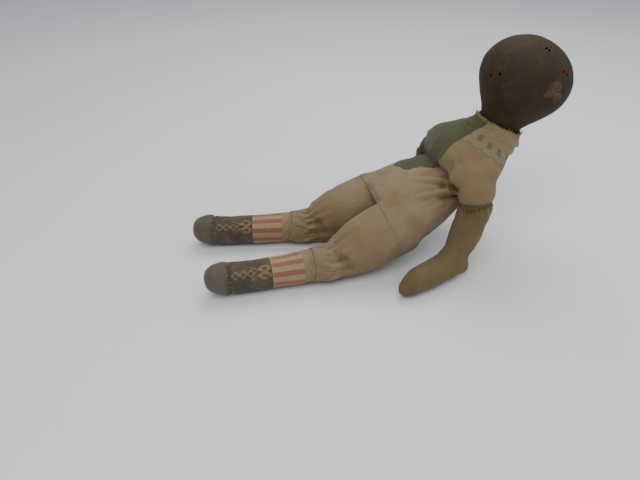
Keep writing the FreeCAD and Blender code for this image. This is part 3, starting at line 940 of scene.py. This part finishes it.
# %% Print attributes
def print_places(piece):
    """Stores "collar" (two metres in the neck's plane, one along it) and "green" (metres into the dyed part)."""
    collar, green = [], []
    for v in piece.data.vertices:
        d = v.co - NECK
        collar.append((d.dot(FRONT), d.y / 1.25, d.dot(HEAD_AXIS)))
        chest = min(v.co.y + 0.0225, v.co.x - 0.070)
        chest = min(chest, 0.6 * (v.co.x - 0.078) + 0.8 * (v.co.y + 0.004) + 0.25 * (v.co.z - 0.13))
        belly = min(v.co.y - 0.003, v.co.x - 0.041 - 0.29 * (0.036 - v.co.y), 0.088 - v.co.x,
                    v.co.x - 0.041 - 0.735 * (v.co.y - 0.036))
        facing = (v.co - Vector((0.13, 0, 0.10))).dot(FRONT)
        green.append(max(chest, belly) if facing > -0.035 else -0.02)
    store(piece, "collar", "FLOAT_VECTOR", collar)
    store(piece, "green", "FLOAT", green)


print_places(torso)
print_places(neck_cloth)

# %% [markdown]
# ## Cotton
#
# Plain woven cotton, a century old: matt, a little fuzzy, browned by dust and stained in clouds. Its threads are
# half a millimetre apart, finer than shows at this distance, so slubs are drawn about 1.5 mm wide. The fuzz is
# the shader's sheen. The clouds are noise at three sizes: 80 mm, 25 mm and 5 mm.

# %% Cotton
def slubs(tree, cloth):
    """Uneven threads in both directions, as one value near 0.5."""
    along = add(tree, "VectorMath", {0: cloth, 1: (90, 720, 1)}, operation="MULTIPLY").outputs[0]
    across = add(tree, "VectorMath", {0: cloth, 1: (720, 90, 1)}, operation="MULTIPLY").outputs[0]
    one = add(tree, "TexNoise", {"Vector": along, "Scale": 1.0, "Detail": 2.0}).outputs["Fac"]
    two = add(tree, "TexNoise", {"Vector": across, "Scale": 1.0, "Detail": 2.0}).outputs["Fac"]
    both = add(tree, "Math", {0: one, 1: two}, operation="ADD").outputs[0]
    return add(tree, "Math", {0: both, 1: 0.5}, operation="MULTIPLY").outputs[0]


def old_cotton(tree, ground, worn, stain, cloth):
    """Colour of unevenly soiled cotton."""
    place = add(tree, "TexCoord").outputs["Object"]
    wide = add(tree, "TexNoise", {"Vector": place, "Scale": 11.0, "Detail": 2.0}).outputs["Fac"]
    mid = add(tree, "TexNoise", {"Vector": place, "Scale": 30.0, "Detail": 3.0, "Roughness": 0.5}).outputs["Fac"]
    fine = add(tree, "TexNoise", {"Vector": place, "Scale": 240.0, "Detail": 2.0}).outputs["Fac"]
    tone = add(tree, "Mix", {
        0: add(tree, "MapRange", {
            "Value": wide,
            "From Min": 0.3,
            "From Max": 0.7,
        }, interpolation_type="SMOOTHSTEP").outputs[0],
        6: ground,
        7: worn,
    }, data_type="RGBA").outputs[2]
    tone = add(tree, "Mix", {
        0: add(tree, "Math", {
            0: add(tree, "MapRange", {
                "Value": mid,
                "From Min": 0.5,
                "From Max": 0.8,
            }, interpolation_type="SMOOTHSTEP").outputs[0],
            1: 0.5,
        }, operation="MULTIPLY").outputs[0],
        6: tone,
        7: stain,
    }, data_type="RGBA").outputs[2]
    tone = add(tree, "Mix", {
        0: 0.35,
        6: tone,
        7: add(tree, "Mix", {0: fine, 6: colour("#505050"), 7: colour("#a8a8a8")}, data_type="RGBA").outputs[2],
    }, data_type="RGBA", blend_type="SOFT_LIGHT").outputs[2]
    return add(tree, "Mix", {
        0: 0.45,
        6: tone,
        7: add(tree, "Mix", {
            0: slubs(tree, cloth),
            6: colour("#404040"),
            7: colour("#c0c0c0"),
        }, data_type="RGBA").outputs[2],
    }, data_type="RGBA", blend_type="SOFT_LIGHT").outputs[2]


def cloth_bump(tree, cloth, place, deep=0.5):
    """Threads, and soft small creases 6 to 10 mm apart."""
    crease = add(tree, "TexNoise", {"Vector": place, "Scale": 85.0, "Detail": 3.0, "Distortion": 0.6}).outputs["Fac"]
    soft = add(tree, "Bump", {"Strength": deep, "Distance": 0.0016, "Height": crease}).outputs[0]
    return add(tree, "Bump", {
        "Strength": 0.55,
        "Distance": 0.0005,
        "Height": slubs(tree, cloth),
        "Normal": soft,
    }).outputs[0]


def darkened(tree, tone):
    """Darker and browner where "seam" is high: sewn lines, and painted shade between parts and in folds."""
    mark = add(tree, "Attribute", attribute_name="seam").outputs["Fac"]
    # dark brown for sewn lines and for painted shade
    return add(tree, "Mix", {
        0: add(tree, "Math", {0: mark, 1: 0.7}, operation="MULTIPLY").outputs[0],
        6: tone,
        7: colour("#382d1c"),
    }, data_type="RGBA").outputs[2]


def woven_cotton(name, ground, worn, stain, end, reach):
    """Soiled plain-weave cotton: matt with a faint fuzz, darker towards the far end of the limb."""
    material, tree = new_material(name)
    cloth = add(tree, "Attribute", attribute_name="cloth").outputs["Vector"]
    place = add(tree, "TexCoord").outputs["Object"]
    tone = old_cotton(tree, colour(ground), colour(worn), colour(stain), cloth)
    down = add(tree, "SeparateXYZ", {0: cloth}).outputs[0]
    far = add(tree, "Math", {
        0: add(tree, "MapRange", {
            "Value": down,
            "From Min": reach[0],
            "From Max": reach[1],
        }, interpolation_type="SMOOTHSTEP").outputs[0],
        1: 0.6,
    }, operation="MULTIPLY").outputs[0]
    tone = darkened(
        tree,
        add(tree, "Mix", {
            0: far,
            6: tone,
            7: add(tree, "Mix", {0: 0.5, 6: tone, 7: colour(end)}, data_type="RGBA").outputs[2],
        }, data_type="RGBA").outputs[2],
    )
    finish_material(tree, Base_Color=tone, Roughness=0.88, Normal=cloth_bump(tree, cloth, place),
                    Sheen_Weight=0.12, Sheen_Roughness=0.5, Specular_IOR_Level=0.25)
    return material


thigh_cotton = woven_cotton("woven_cotton_thigh", "#8a7657", "#97846a", "#6c5d38", "#5c4a20", (0.010, 0.085))
arm_cotton = woven_cotton("woven_cotton_arm", "#6f5e3d", "#7b6948", "#5a4a28", "#574527", (0.03, 0.12))
for side in SIDES:
    thighs[side].data.materials.append(thigh_cotton)
    sleeves[side][0].data.materials.append(thigh_cotton)
    arm_tops[side].data.materials.append(arm_cotton)
    forearms[side].data.materials.append(arm_cotton)

# %% [markdown]
# ## Printed bodice
#
# The same cotton with the green print and the lace collar over it. The lace is a scalloped line 1.4 mm wide,
# with one scallop and one small green square of ribbon every 18 degrees round the neck, on paler cloth with specks.

# %% Printed bodice
def printed_bodice():
    """Soiled cotton with an old print in dark green: dye lies in the cloth and changes only its colour."""
    material, tree = new_material("printed_cotton_bodice")
    cloth = add(tree, "Attribute", attribute_name="cloth").outputs["Vector"]
    place = add(tree, "TexCoord").outputs["Object"]
    tone = old_cotton(tree, colour("#8c7859"), colour("#9b886f"), colour("#74623c"), cloth)
    lengthwise = add(tree, "SeparateXYZ", {0: cloth}).outputs[0]
    chest = add(tree, "Math", {
        0: add(tree, "MapRange", {
            "Value": lengthwise,
            "From Min": 0.085,
            "From Max": 0.15,
        }, interpolation_type="SMOOTHSTEP").outputs[0],
        1: 0.55,
    }, operation="MULTIPLY").outputs[0]
    tone = add(tree, "Mix", {
        0: chest,
        6: tone,
        7: add(tree, "Mix", {0: 0.7, 6: tone, 7: colour("#66542c")}, data_type="RGBA").outputs[2],
    }, data_type="RGBA").outputs[2]
    wobble = add(tree, "TexNoise", {"Vector": place, "Scale": 160.0, "Detail": 3.0}).outputs["Fac"]
    shift = add(tree, "Math", {0: wobble, 1: -0.5}, operation="ADD").outputs[0]
    # the collar, from its plane coordinates
    flat = add(tree, "SeparateXYZ", {0: add(tree, "Attribute", attribute_name="collar").outputs["Vector"]}).outputs
    squared = add(tree, "Math", {0: flat[1], 1: flat[1]}, operation="MULTIPLY").outputs[0]
    squared = add(tree, "Math", {0: flat[0], 1: flat[0], 2: squared}, operation="MULTIPLY_ADD").outputs[0]
    radius = add(tree, "Math", {0: squared}, operation="SQRT").outputs[0]
    angle = add(tree, "Math", {0: flat[1], 1: flat[0]}, operation="ARCTAN2").outputs[0]
    turn = add(tree, "Math", {0: angle, 1: 1 / math.radians(17.7), 2: 0.45}, operation="MULTIPLY_ADD").outputs[0]
    part = add(tree, "Math", {0: turn}, operation="FRACT").outputs[0]
    middle = add(tree, "Math", {
        0: add(tree, "Math", {0: part, 1: -0.5}, operation="ADD").outputs[0],
    }, operation="ABSOLUTE").outputs[0]
    scallop = add(tree, "Math", {
        0: add(tree, "Math", {0: middle, 1: middle}, operation="MULTIPLY").outputs[0],
        1: -0.012,
        2: 0.0568,
    }, operation="MULTIPLY_ADD").outputs[0]
    off = add(tree, "Math", {0: radius, 1: scallop}, operation="SUBTRACT").outputs[0]
    off = add(tree, "Math", {0: shift, 1: 0.0022, 2: off}, operation="MULTIPLY_ADD").outputs[0]
    near = add(tree, "MapRange", {
        "Value": flat[2],
        "From Min": -0.04,
        "From Max": -0.034,
    }, interpolation_type="SMOOTHSTEP").outputs[0]
    inside = add(tree, "Math", {
        0: add(tree, "MapRange", {
            "Value": off,
            "From Min": 0.0004,
            "From Max": -0.0004,
        }, interpolation_type="SMOOTHSTEP").outputs[0],
        1: near,
    }, operation="MULTIPLY").outputs[0]
    line = add(tree, "MapRange", {
        "Value": add(tree, "Math", {0: off}, operation="ABSOLUTE").outputs[0],
        "From Min": 0.0012,
        "From Max": 0.0005,
    }, interpolation_type="SMOOTHSTEP").outputs[0]
    speck = add(tree, "TexNoise", {"Vector": place, "Scale": 520.0, "Detail": 2.0}).outputs["Fac"]
    lace = add(tree, "Mix", {
        0: add(tree, "MapRange", {
            "Value": speck,
            "From Min": 0.48,
            "From Max": 0.68,
        }, interpolation_type="SMOOTHSTEP").outputs[0],
        6: colour("#7f7152"),
        7: colour("#6a5e40"),
    }, data_type="RGBA").outputs[2]
    tone = add(tree, "Mix", {
        0: add(tree, "Math", {0: inside, 1: 0.75}, operation="MULTIPLY").outputs[0],
        6: tone,
        7: lace,
    }, data_type="RGBA").outputs[2]
    tone = add(tree, "Mix", {
        0: add(tree, "Math", {0: line, 1: near}, operation="MULTIPLY").outputs[0],
        6: tone,
        7: colour("#5d5f50"),
    }, data_type="RGBA").outputs[2]
    across = add(tree, "MapRange", {
        "Value": middle,
        "From Min": 0.24,
        "From Max": 0.19,
    }, interpolation_type="SMOOTHSTEP").outputs[0]
    out = add(tree, "Math", {0: radius, 1: -0.0468}, operation="ADD").outputs[0]
    ribbon = add(tree, "MapRange", {
        "Value": add(tree, "Math", {0: out}, operation="ABSOLUTE").outputs[0],
        "From Min": 0.0037,
        "From Max": 0.003,
    }, interpolation_type="SMOOTHSTEP").outputs[0]
    ribbon = add(tree, "Math", {
        0: add(tree, "Math", {0: ribbon, 1: near}, operation="MULTIPLY").outputs[0],
        1: across,
    }, operation="MULTIPLY").outputs[0]
    tone = add(tree, "Mix", {0: ribbon, 6: tone, 7: colour("#545a48")}, data_type="RGBA").outputs[2]
    # the green of the bodice
    into = add(tree, "Attribute", attribute_name="green").outputs["Fac"]
    into = add(tree, "Math", {0: shift, 1: 0.006, 2: into}, operation="MULTIPLY_ADD").outputs[0]
    dye = add(tree, "Mix", {0: wobble, 6: colour("#35361f"), 7: colour("#444629")}, data_type="RGBA").outputs[2]
    tone = add(tree, "Mix", {
        0: add(tree, "Math", {
            0: add(tree, "MapRange", {
                "Value": into,
                "From Min": -0.0006,
                "From Max": 0.001,
            }, interpolation_type="SMOOTHSTEP").outputs[0],
            1: 0.93,
        }, operation="MULTIPLY").outputs[0],
        6: tone,
        7: dye,
    }, data_type="RGBA").outputs[2]
    # raw yellowish edge round the neck
    up = add(tree, "MapRange", {
        "Value": flat[2],
        "From Min": 0.0075,
        "From Max": 0.015,
    }, interpolation_type="SMOOTHSTEP").outputs[0]
    tone = add(tree, "Mix", {
        0: add(tree, "Math", {0: up, 1: 0.55}, operation="MULTIPLY").outputs[0],
        6: tone,
        7: colour("#8f7c4e"),
    }, data_type="RGBA").outputs[2]
    finish_material(tree, Base_Color=darkened(tree, tone), Roughness=0.88, Normal=cloth_bump(tree, cloth, place, 0.45),
                    Sheen_Weight=0.12, Sheen_Roughness=0.5, Specular_IOR_Level=0.25)
    return material


bodice = printed_bodice()
torso.data.materials.append(bodice)
neck_cloth.data.materials.append(bodice)

# %% [markdown]
# ## Printed stocking and boot
#
# From the knee down the print changes: plain cloth, then 44 mm of stripes 17 mm apart, then a dark boot with
# printed laces and a bow. Every mark is worked out from the cloth attribute in metres. A lace that crosses
# over is a zigzag and its mirror image; a loop of the bow is a ring that is squeezed to an oval.

# %% Printed stocking
def printed_stocking():
    """Soiled cotton printed with a striped stocking and a laced boot."""
    material, tree = new_material("printed_cotton_stocking")
    cloth = add(tree, "Attribute", attribute_name="cloth").outputs["Vector"]
    place = add(tree, "TexCoord").outputs["Object"]

    wobble = add(tree, "Math", {
        0: add(tree, "TexNoise", {"Vector": place, "Scale": 190.0, "Detail": 3.0}).outputs["Fac"],
        1: 0.5,
    }, operation="SUBTRACT").outputs[0]
    down, around, _ = add(tree, "SeparateXYZ", {0: cloth}).outputs
    down = add(tree, "Math", {0: wobble, 1: 0.0016, 2: down}, operation="MULTIPLY_ADD").outputs[0]
    around = add(tree, "Math", {0: wobble, 1: 0.0014, 2: around}, operation="MULTIPLY_ADD").outputs[0]
    tone = old_cotton(tree, colour("#8f7d62"), colour("#9c8a6e"), colour("#7c6a48"), cloth)
    # stripes: cream ground and dusty red
    turn = add(tree, "Math", {
        0: add(tree, "Math", {0: around, 1: 0.0171}, operation="DIVIDE").outputs[0],
    }, operation="FRACT").outputs[0]
    red = add(tree, "MapRange", {
        "Value": add(tree, "Math", {
            0: add(tree, "Math", {0: turn, 1: 0.5}, operation="SUBTRACT").outputs[0],
        }, operation="ABSOLUTE").outputs[0],
        "From Min": 0.26,
        "From Max": 0.22,
    }, interpolation_type="SMOOTHSTEP").outputs[0]
    faded = add(tree, "TexNoise", {"Vector": place, "Scale": 90.0, "Detail": 4.0}).outputs["Fac"]
    band = add(tree, "Mix", {
        0: add(tree, "Math", {
            0: red,
            1: add(tree, "MapRange", {
                "Value": faded,
                "From Min": 0.2,
                "From Max": 0.45,
            }, interpolation_type="SMOOTHSTEP").outputs[0],
        }, operation="MULTIPLY").outputs[0],
        6: add(tree, "Mix", {0: 0.6, 6: tone, 7: colour("#988862")}, data_type="RGBA").outputs[2],
        7: colour("#85554a"),
    }, data_type="RGBA").outputs[2]
    in_band = add(tree, "Math", {
        0: add(tree, "MapRange", {
            "Value": down,
            "From Min": 0.0398,
            "From Max": 0.0406,
        }, interpolation_type="SMOOTHSTEP").outputs[0],
        1: add(tree, "MapRange", {
            "Value": down,
            "From Min": 0.0846,
            "From Max": 0.0838,
        }, interpolation_type="SMOOTHSTEP").outputs[0],
    }, operation="MULTIPLY").outputs[0]
    tone = add(tree, "Mix", {0: in_band, 6: tone, 7: band}, data_type="RGBA").outputs[2]
    hem = add(tree, "Math", {
        0: down,
        1: add(tree, "Math", {
            0: add(tree, "Math", {
                0: add(tree, "Math", {0: around, 1: 420.0}, operation="MULTIPLY").outputs[0],
            }, operation="SINE").outputs[0],
            1: 0.0014,
            2: 0.0305,
        }, operation="MULTIPLY_ADD").outputs[0],
    }, operation="SUBTRACT").outputs[0]
    tone = add(tree, "Mix", {
        0: add(tree, "Math", {
            0: add(tree, "MapRange", {
                "Value": add(tree, "Math", {0: hem}, operation="ABSOLUTE").outputs[0],
                "From Min": 0.0008,
                "From Max": 0.0004,
            }, interpolation_type="SMOOTHSTEP").outputs[0],
            1: 0.55,
        }, operation="MULTIPLY").outputs[0],
        6: tone,
        7: colour("#4d4a3c"),
    }, data_type="RGBA").outputs[2]
    # boot: dark print, worn brown in places, with laces and bow
    blot = add(tree, "TexNoise", {"Vector": place, "Scale": 60.0, "Detail": 5.0, "Roughness": 0.65}).outputs["Fac"]
    boot = add(tree, "Mix", {
        0: add(tree, "MapRange", {
            "Value": blot,
            "From Min": 0.35,
            "From Max": 0.7,
        }, interpolation_type="SMOOTHSTEP").outputs[0],
        6: colour("#4a4135"),
        7: colour("#5f5241"),
    }, data_type="RGBA").outputs[2]
    boot = add(tree, "Mix", {
        0: add(tree, "Math", {
            0: add(tree, "MapRange", {
                "Value": blot,
                "From Min": 0.6,
                "From Max": 0.75,
            }, interpolation_type="SMOOTHSTEP").outputs[0],
            1: 0.6,
        }, operation="MULTIPLY").outputs[0],
        6: boot,
        7: colour("#74602f"),
    }, data_type="RGBA").outputs[2]
    boot = add(tree, "Mix", {
        0: 0.5,
        6: boot,
        7: add(tree, "Mix", {
            0: slubs(tree, cloth),
            6: colour("#3a3a3a"),
            7: colour("#c8c8c8"),
        }, data_type="RGBA").outputs[2],
    }, data_type="RGBA", blend_type="SOFT_LIGHT").outputs[2]
    zig = add(tree, "Math", {
        0: add(tree, "Math", {
            0: add(tree, "Math", {
                0: add(tree, "Math", {
                    0: add(tree, "Math", {0: down, 1: 0.0205}, operation="DIVIDE").outputs[0],
                }, operation="FRACT").outputs[0],
                1: 0.5,
            }, operation="SUBTRACT").outputs[0],
        }, operation="ABSOLUTE").outputs[0],
        1: 0.026,
        2: -0.0065,
    }, operation="MULTIPLY_ADD").outputs[0]
    cross = add(tree, "Math", {
        0: add(tree, "Math", {
            0: add(tree, "Math", {0: around, 1: zig}, operation="SUBTRACT").outputs[0],
        }, operation="ABSOLUTE").outputs[0],
        1: add(tree, "Math", {
            0: add(tree, "Math", {0: around, 1: zig}, operation="ADD").outputs[0],
        }, operation="ABSOLUTE").outputs[0],
    }, operation="MINIMUM").outputs[0]
    reach = add(tree, "Math", {
        0: add(tree, "MapRange", {
            "Value": down,
            "From Min": 0.0995,
            "From Max": 0.1005,
        }, interpolation_type="SMOOTHSTEP").outputs[0],
        1: add(tree, "MapRange", {
            "Value": down,
            "From Min": 0.1395,
            "From Max": 0.1385,
        }, interpolation_type="SMOOTHSTEP").outputs[0],
    }, operation="MULTIPLY").outputs[0]
    laces = add(tree, "Math", {
        0: add(tree, "MapRange", {
            "Value": cross,
            "From Min": 0.00125,
            "From Max": 0.0006,
        }, interpolation_type="SMOOTHSTEP").outputs[0],
        1: reach,
    }, operation="MULTIPLY").outputs[0]
    side = add(tree, "Math", {
        0: add(tree, "Math", {
            0: add(tree, "Math", {0: around}, operation="ABSOLUTE").outputs[0],
            1: 0.0066,
        }, operation="SUBTRACT").outputs[0],
        1: 0.0056,
    }, operation="DIVIDE").outputs[0]
    length = add(tree, "Math", {
        0: add(tree, "Math", {0: down, 1: 0.0935}, operation="SUBTRACT").outputs[0],
        1: 0.0068,
    }, operation="DIVIDE").outputs[0]
    ring = add(tree, "Math", {
        0: add(tree, "Math", {
            0: side,
            1: side,
            2: add(tree, "Math", {0: length, 1: length}, operation="MULTIPLY").outputs[0],
        }, operation="MULTIPLY_ADD").outputs[0],
    }, operation="SQRT").outputs[0]
    loop = add(tree, "Math", {
        0: add(tree, "MapRange", {
            "Value": add(tree, "Math", {
                0: add(tree, "Math", {0: ring, 1: 1.0}, operation="SUBTRACT").outputs[0],
            }, operation="ABSOLUTE").outputs[0],
            "From Min": 0.17,
            "From Max": 0.08,
        }, interpolation_type="SMOOTHSTEP").outputs[0],
        1: add(tree, "MapRange", {
            "Value": add(tree, "Math", {
                0: add(tree, "Math", {0: ring, 1: 0.6}, operation="SUBTRACT").outputs[0],
            }, operation="ABSOLUTE").outputs[0],
            "From Min": 0.16,
            "From Max": 0.07,
        }, interpolation_type="SMOOTHSTEP").outputs[0],
    }, operation="MAXIMUM").outputs[0]
    tail = add(tree, "Math", {
        0: add(tree, "Math", {
            0: add(tree, "Math", {0: around}, operation="ABSOLUTE").outputs[0],
            1: add(tree, "Math", {
                0: add(tree, "Math", {0: down, 1: 0.0945}, operation="SUBTRACT").outputs[0],
                1: 0.62,
            }, operation="MULTIPLY").outputs[0],
        }, operation="SUBTRACT").outputs[0],
    }, operation="ABSOLUTE").outputs[0]
    tail = add(tree, "Math", {
        0: add(tree, "MapRange", {
            "Value": tail,
            "From Min": 0.0011,
            "From Max": 0.0005,
        }, interpolation_type="SMOOTHSTEP").outputs[0],
        1: add(tree, "Math", {
            0: add(tree, "MapRange", {
                "Value": down,
                "From Min": 0.0945,
                "From Max": 0.0955,
            }, interpolation_type="SMOOTHSTEP").outputs[0],
            1: add(tree, "MapRange", {
                "Value": down,
                "From Min": 0.1135,
                "From Max": 0.1125,
            }, interpolation_type="SMOOTHSTEP").outputs[0],
        }, operation="MULTIPLY").outputs[0],
    }, operation="MULTIPLY").outputs[0]
    marks = add(tree, "Math", {
        0: add(tree, "Math", {
            0: laces,
            1: add(tree, "Math", {
                0: loop,
                1: add(tree, "MapRange", {
                    "Value": down,
                    "From Min": 0.0845,
                    "From Max": 0.0855,
                }, interpolation_type="SMOOTHSTEP").outputs[0],
            }, operation="MULTIPLY").outputs[0],
        }, operation="MAXIMUM").outputs[0],
        1: tail,
    }, operation="MAXIMUM").outputs[0]
    gone = add(tree, "MapRange", {
        "Value": add(tree, "TexNoise", {"Vector": place, "Scale": 260.0, "Detail": 2.0}).outputs["Fac"],
        "From Min": 0.3,
        "From Max": 0.48,
    }, interpolation_type="SMOOTHSTEP").outputs[0]
    boot = add(tree, "Mix", {
        0: add(tree, "Math", {
            0: add(tree, "Math", {0: marks, 1: gone}, operation="MULTIPLY").outputs[0],
            1: 0.9,
        }, operation="MULTIPLY").outputs[0],
        6: boot,
        7: colour("#86744f"),
    }, data_type="RGBA").outputs[2]
    toe = add(tree, "MapRange", {
        "Value": down,
        "From Min": 0.1425,
        "From Max": 0.1435,
    }, interpolation_type="SMOOTHSTEP").outputs[0]
    boot = add(tree, "Mix", {
        0: add(tree, "Math", {0: toe, 1: 0.55}, operation="MULTIPLY").outputs[0],
        6: boot,
        7: colour("#5e564c"),
    }, data_type="RGBA").outputs[2]
    tone = add(tree, "Mix", {
        0: add(tree, "MapRange", {
            "Value": down,
            "From Min": 0.084,
            "From Max": 0.0848,
        }, interpolation_type="SMOOTHSTEP").outputs[0],
        6: tone,
        7: boot,
    }, data_type="RGBA").outputs[2]
    finish_material(tree, Base_Color=darkened(tree, tone), Roughness=0.85, Normal=cloth_bump(tree, cloth, place, 0.4),
                    Sheen_Weight=0.10, Sheen_Roughness=0.5, Specular_IOR_Level=0.25)
    return material


stocking = printed_stocking()
for side in SIDES:
    legs[side].data.materials.append(stocking)

# %% [markdown]
# ## Head, thread and rag
#
# The head is a moulded paste of wood dust and glue, sealed with a brown varnish that has dulled unevenly: satin,
# with fine pits. Where hands rubbed it the varnish is gone and the paste shows pale and a little red; the pale
# patch is also a painted highlight.
# Linen thread is pale and matt. The rag in the neck is undyed cotton.

# %% Composition head
def varnished_composition():
    """Moulded wood paste under old varnish: satin, mottled brown, pitted."""
    material, tree = new_material("varnished_wood_composition")
    place = add(tree, "TexCoord").outputs["Object"]
    wide = add(tree, "TexNoise", {"Vector": place, "Scale": 22.0, "Detail": 5.0, "Roughness": 0.62}).outputs["Fac"]
    mid = add(tree, "TexNoise", {"Vector": place, "Scale": 75.0, "Detail": 6.0, "Roughness": 0.7}).outputs["Fac"]
    fine = add(tree, "TexNoise", {"Vector": place, "Scale": 420.0, "Detail": 4.0, "Roughness": 0.7}).outputs["Fac"]
    tone = add(tree, "Mix", {
        0: add(tree, "MapRange", {
            "Value": wide,
            "From Min": 0.35,
            "From Max": 0.62,
        }, interpolation_type="SMOOTHSTEP").outputs[0],
        6: colour("#3d311c"),
        7: colour("#372b20"),
    }, data_type="RGBA").outputs[2]
    tone = add(tree, "Mix", {
        0: add(tree, "MapRange", {
            "Value": mid,
            "From Min": 0.48,
            "From Max": 0.72,
        }, interpolation_type="SMOOTHSTEP").outputs[0],
        6: tone,
        7: colour("#4b3d23"),
    }, data_type="RGBA").outputs[2]
    tone = add(tree, "Mix", {
        0: add(tree, "MapRange", {
            "Value": mid,
            "From Min": 0.42,
            "From Max": 0.28,
        }, interpolation_type="SMOOTHSTEP").outputs[0],
        6: tone,
        7: colour("#261f14"),
    }, data_type="RGBA").outputs[2]
    tone = add(tree, "Mix", {
        0: 0.5,
        6: tone,
        7: add(tree, "Mix", {0: fine, 6: colour("#303030"), 7: colour("#c0c0c0")}, data_type="RGBA").outputs[2],
    }, data_type="RGBA", blend_type="SOFT_LIGHT").outputs[2]
    # pale patch: worn varnish, and a painted highlight on the lit side
    worn = add(tree, "Attribute", attribute_name="wear_and_highlight").outputs["Fac"]
    rubbed_and_highlight = add(tree, "Math", {0: mid, 1: 0.9, 2: worn}, operation="MULTIPLY_ADD").outputs[0]
    bare_and_highlight = add(tree, "MapRange", {
        "Value": rubbed_and_highlight,
        "From Min": 0.82,
        "From Max": 1.25,
    }, interpolation_type="SMOOTHSTEP").outputs[0]
    # paler brown of the patch: bare paste, and painted highlight
    tone = add(tree, "Mix", {
        0: add(tree, "Math", {0: bare_and_highlight, 1: 0.8}, operation="MULTIPLY").outputs[0],
        6: tone,
        7: add(tree, "Mix", {
            0: add(tree, "MapRange", {
                "Value": fine,
                "From Min": 0.45,
                "From Max": 0.6,
            }, interpolation_type="SMOOTHSTEP").outputs[0],
            6: colour("#46341f"),
            7: colour("#64533b"),
        }, data_type="RGBA").outputs[2],
    }, data_type="RGBA").outputs[2]
    rust = add(tree, "Attribute", attribute_name="rust").outputs["Fac"]
    rust = add(tree, "Math", {
        0: rust,
        1: add(tree, "MapRange", {
            "Value": mid,
            "From Min": 0.3,
            "From Max": 0.6,
        }, interpolation_type="SMOOTHSTEP").outputs[0],
    }, operation="MULTIPLY").outputs[0]
    tone = add(tree, "Mix", {0: rust, 6: tone, 7: colour("#4a1f12")}, data_type="RGBA").outputs[2]
    gloss = add(tree, "MapRange", {
        "Value": mid,
        "From Min": 0.3,
        "From Max": 0.7,
        "To Min": 0.66,
        "To Max": 0.8,
    }).outputs[0]
    low = add(tree, "Bump", {"Strength": 0.5, "Distance": 0.0012, "Height": mid}).outputs[0]
    pits = add(tree, "Bump", {"Strength": 0.4, "Distance": 0.0004, "Height": fine, "Normal": low}).outputs[0]
    finish_material(tree, Base_Color=tone, Roughness=gloss, Normal=pits, Specular_IOR_Level=0.2)
    return material


def plain_fibre(name, light, dark, size):
    """Matt twisted fibre: colour varies along it."""
    material, tree = new_material(name)
    place = add(tree, "TexCoord").outputs["Object"]
    fleck = add(tree, "TexNoise", {"Vector": place, "Scale": size, "Detail": 3.0}).outputs["Fac"]
    rough = add(tree, "Bump", {"Strength": 0.5, "Distance": 0.0004, "Height": fleck}).outputs[0]
    finish_material(
        tree,
        Base_Color=add(tree, "Mix", {
            0: add(tree, "MapRange", {
                "Value": fleck,
                "From Min": 0.35,
                "From Max": 0.65,
            }, interpolation_type="SMOOTHSTEP").outputs[0],
            6: colour(light),
            7: colour(dark),
        }, data_type="RGBA").outputs[2],
        Roughness=0.9,
        Normal=rough,
        Sheen_Weight=0.1,
    )
    return material


head.data.materials.append(varnished_composition())
linen = plain_fibre("linen_thread", "#86765a", "#625334", 900.0)
raw = plain_fibre("raw_cotton_edge", "#a8966c", "#85734a", 700.0)
rag = plain_fibre("cotton_rag", "#8d7f66", "#6e6149", 240.0)
for piece in threads:
    piece.data.materials.append(linen)
for piece in (neck_frays, sleeves["left"][1], sleeves["right"][1]):
    piece.data.materials.append(raw)
for name, finish in (("neck_plug", rag), ("neck_binding", linen)):
    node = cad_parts[name]
    node.data.materials.clear()
    node.data.materials.append(finish)
print("materials:", sorted(mat.name for mat in bpy.data.materials if mat.users))

# %% [markdown]
# ## Baked transforms
#
# The cloth at hips, knees, shoulders and elbows has its placement baked into its points last.

# %% Baked transforms
for side in SIDES:
    down = (ELBOW[side] - SHOULDER[side]).normalized()
    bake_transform(arm_tops[side])
    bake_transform(forearms[side])
    knee, along = KNEE[side], LEG[side].normalized()
    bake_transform(thighs[side])
    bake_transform(legs[side])
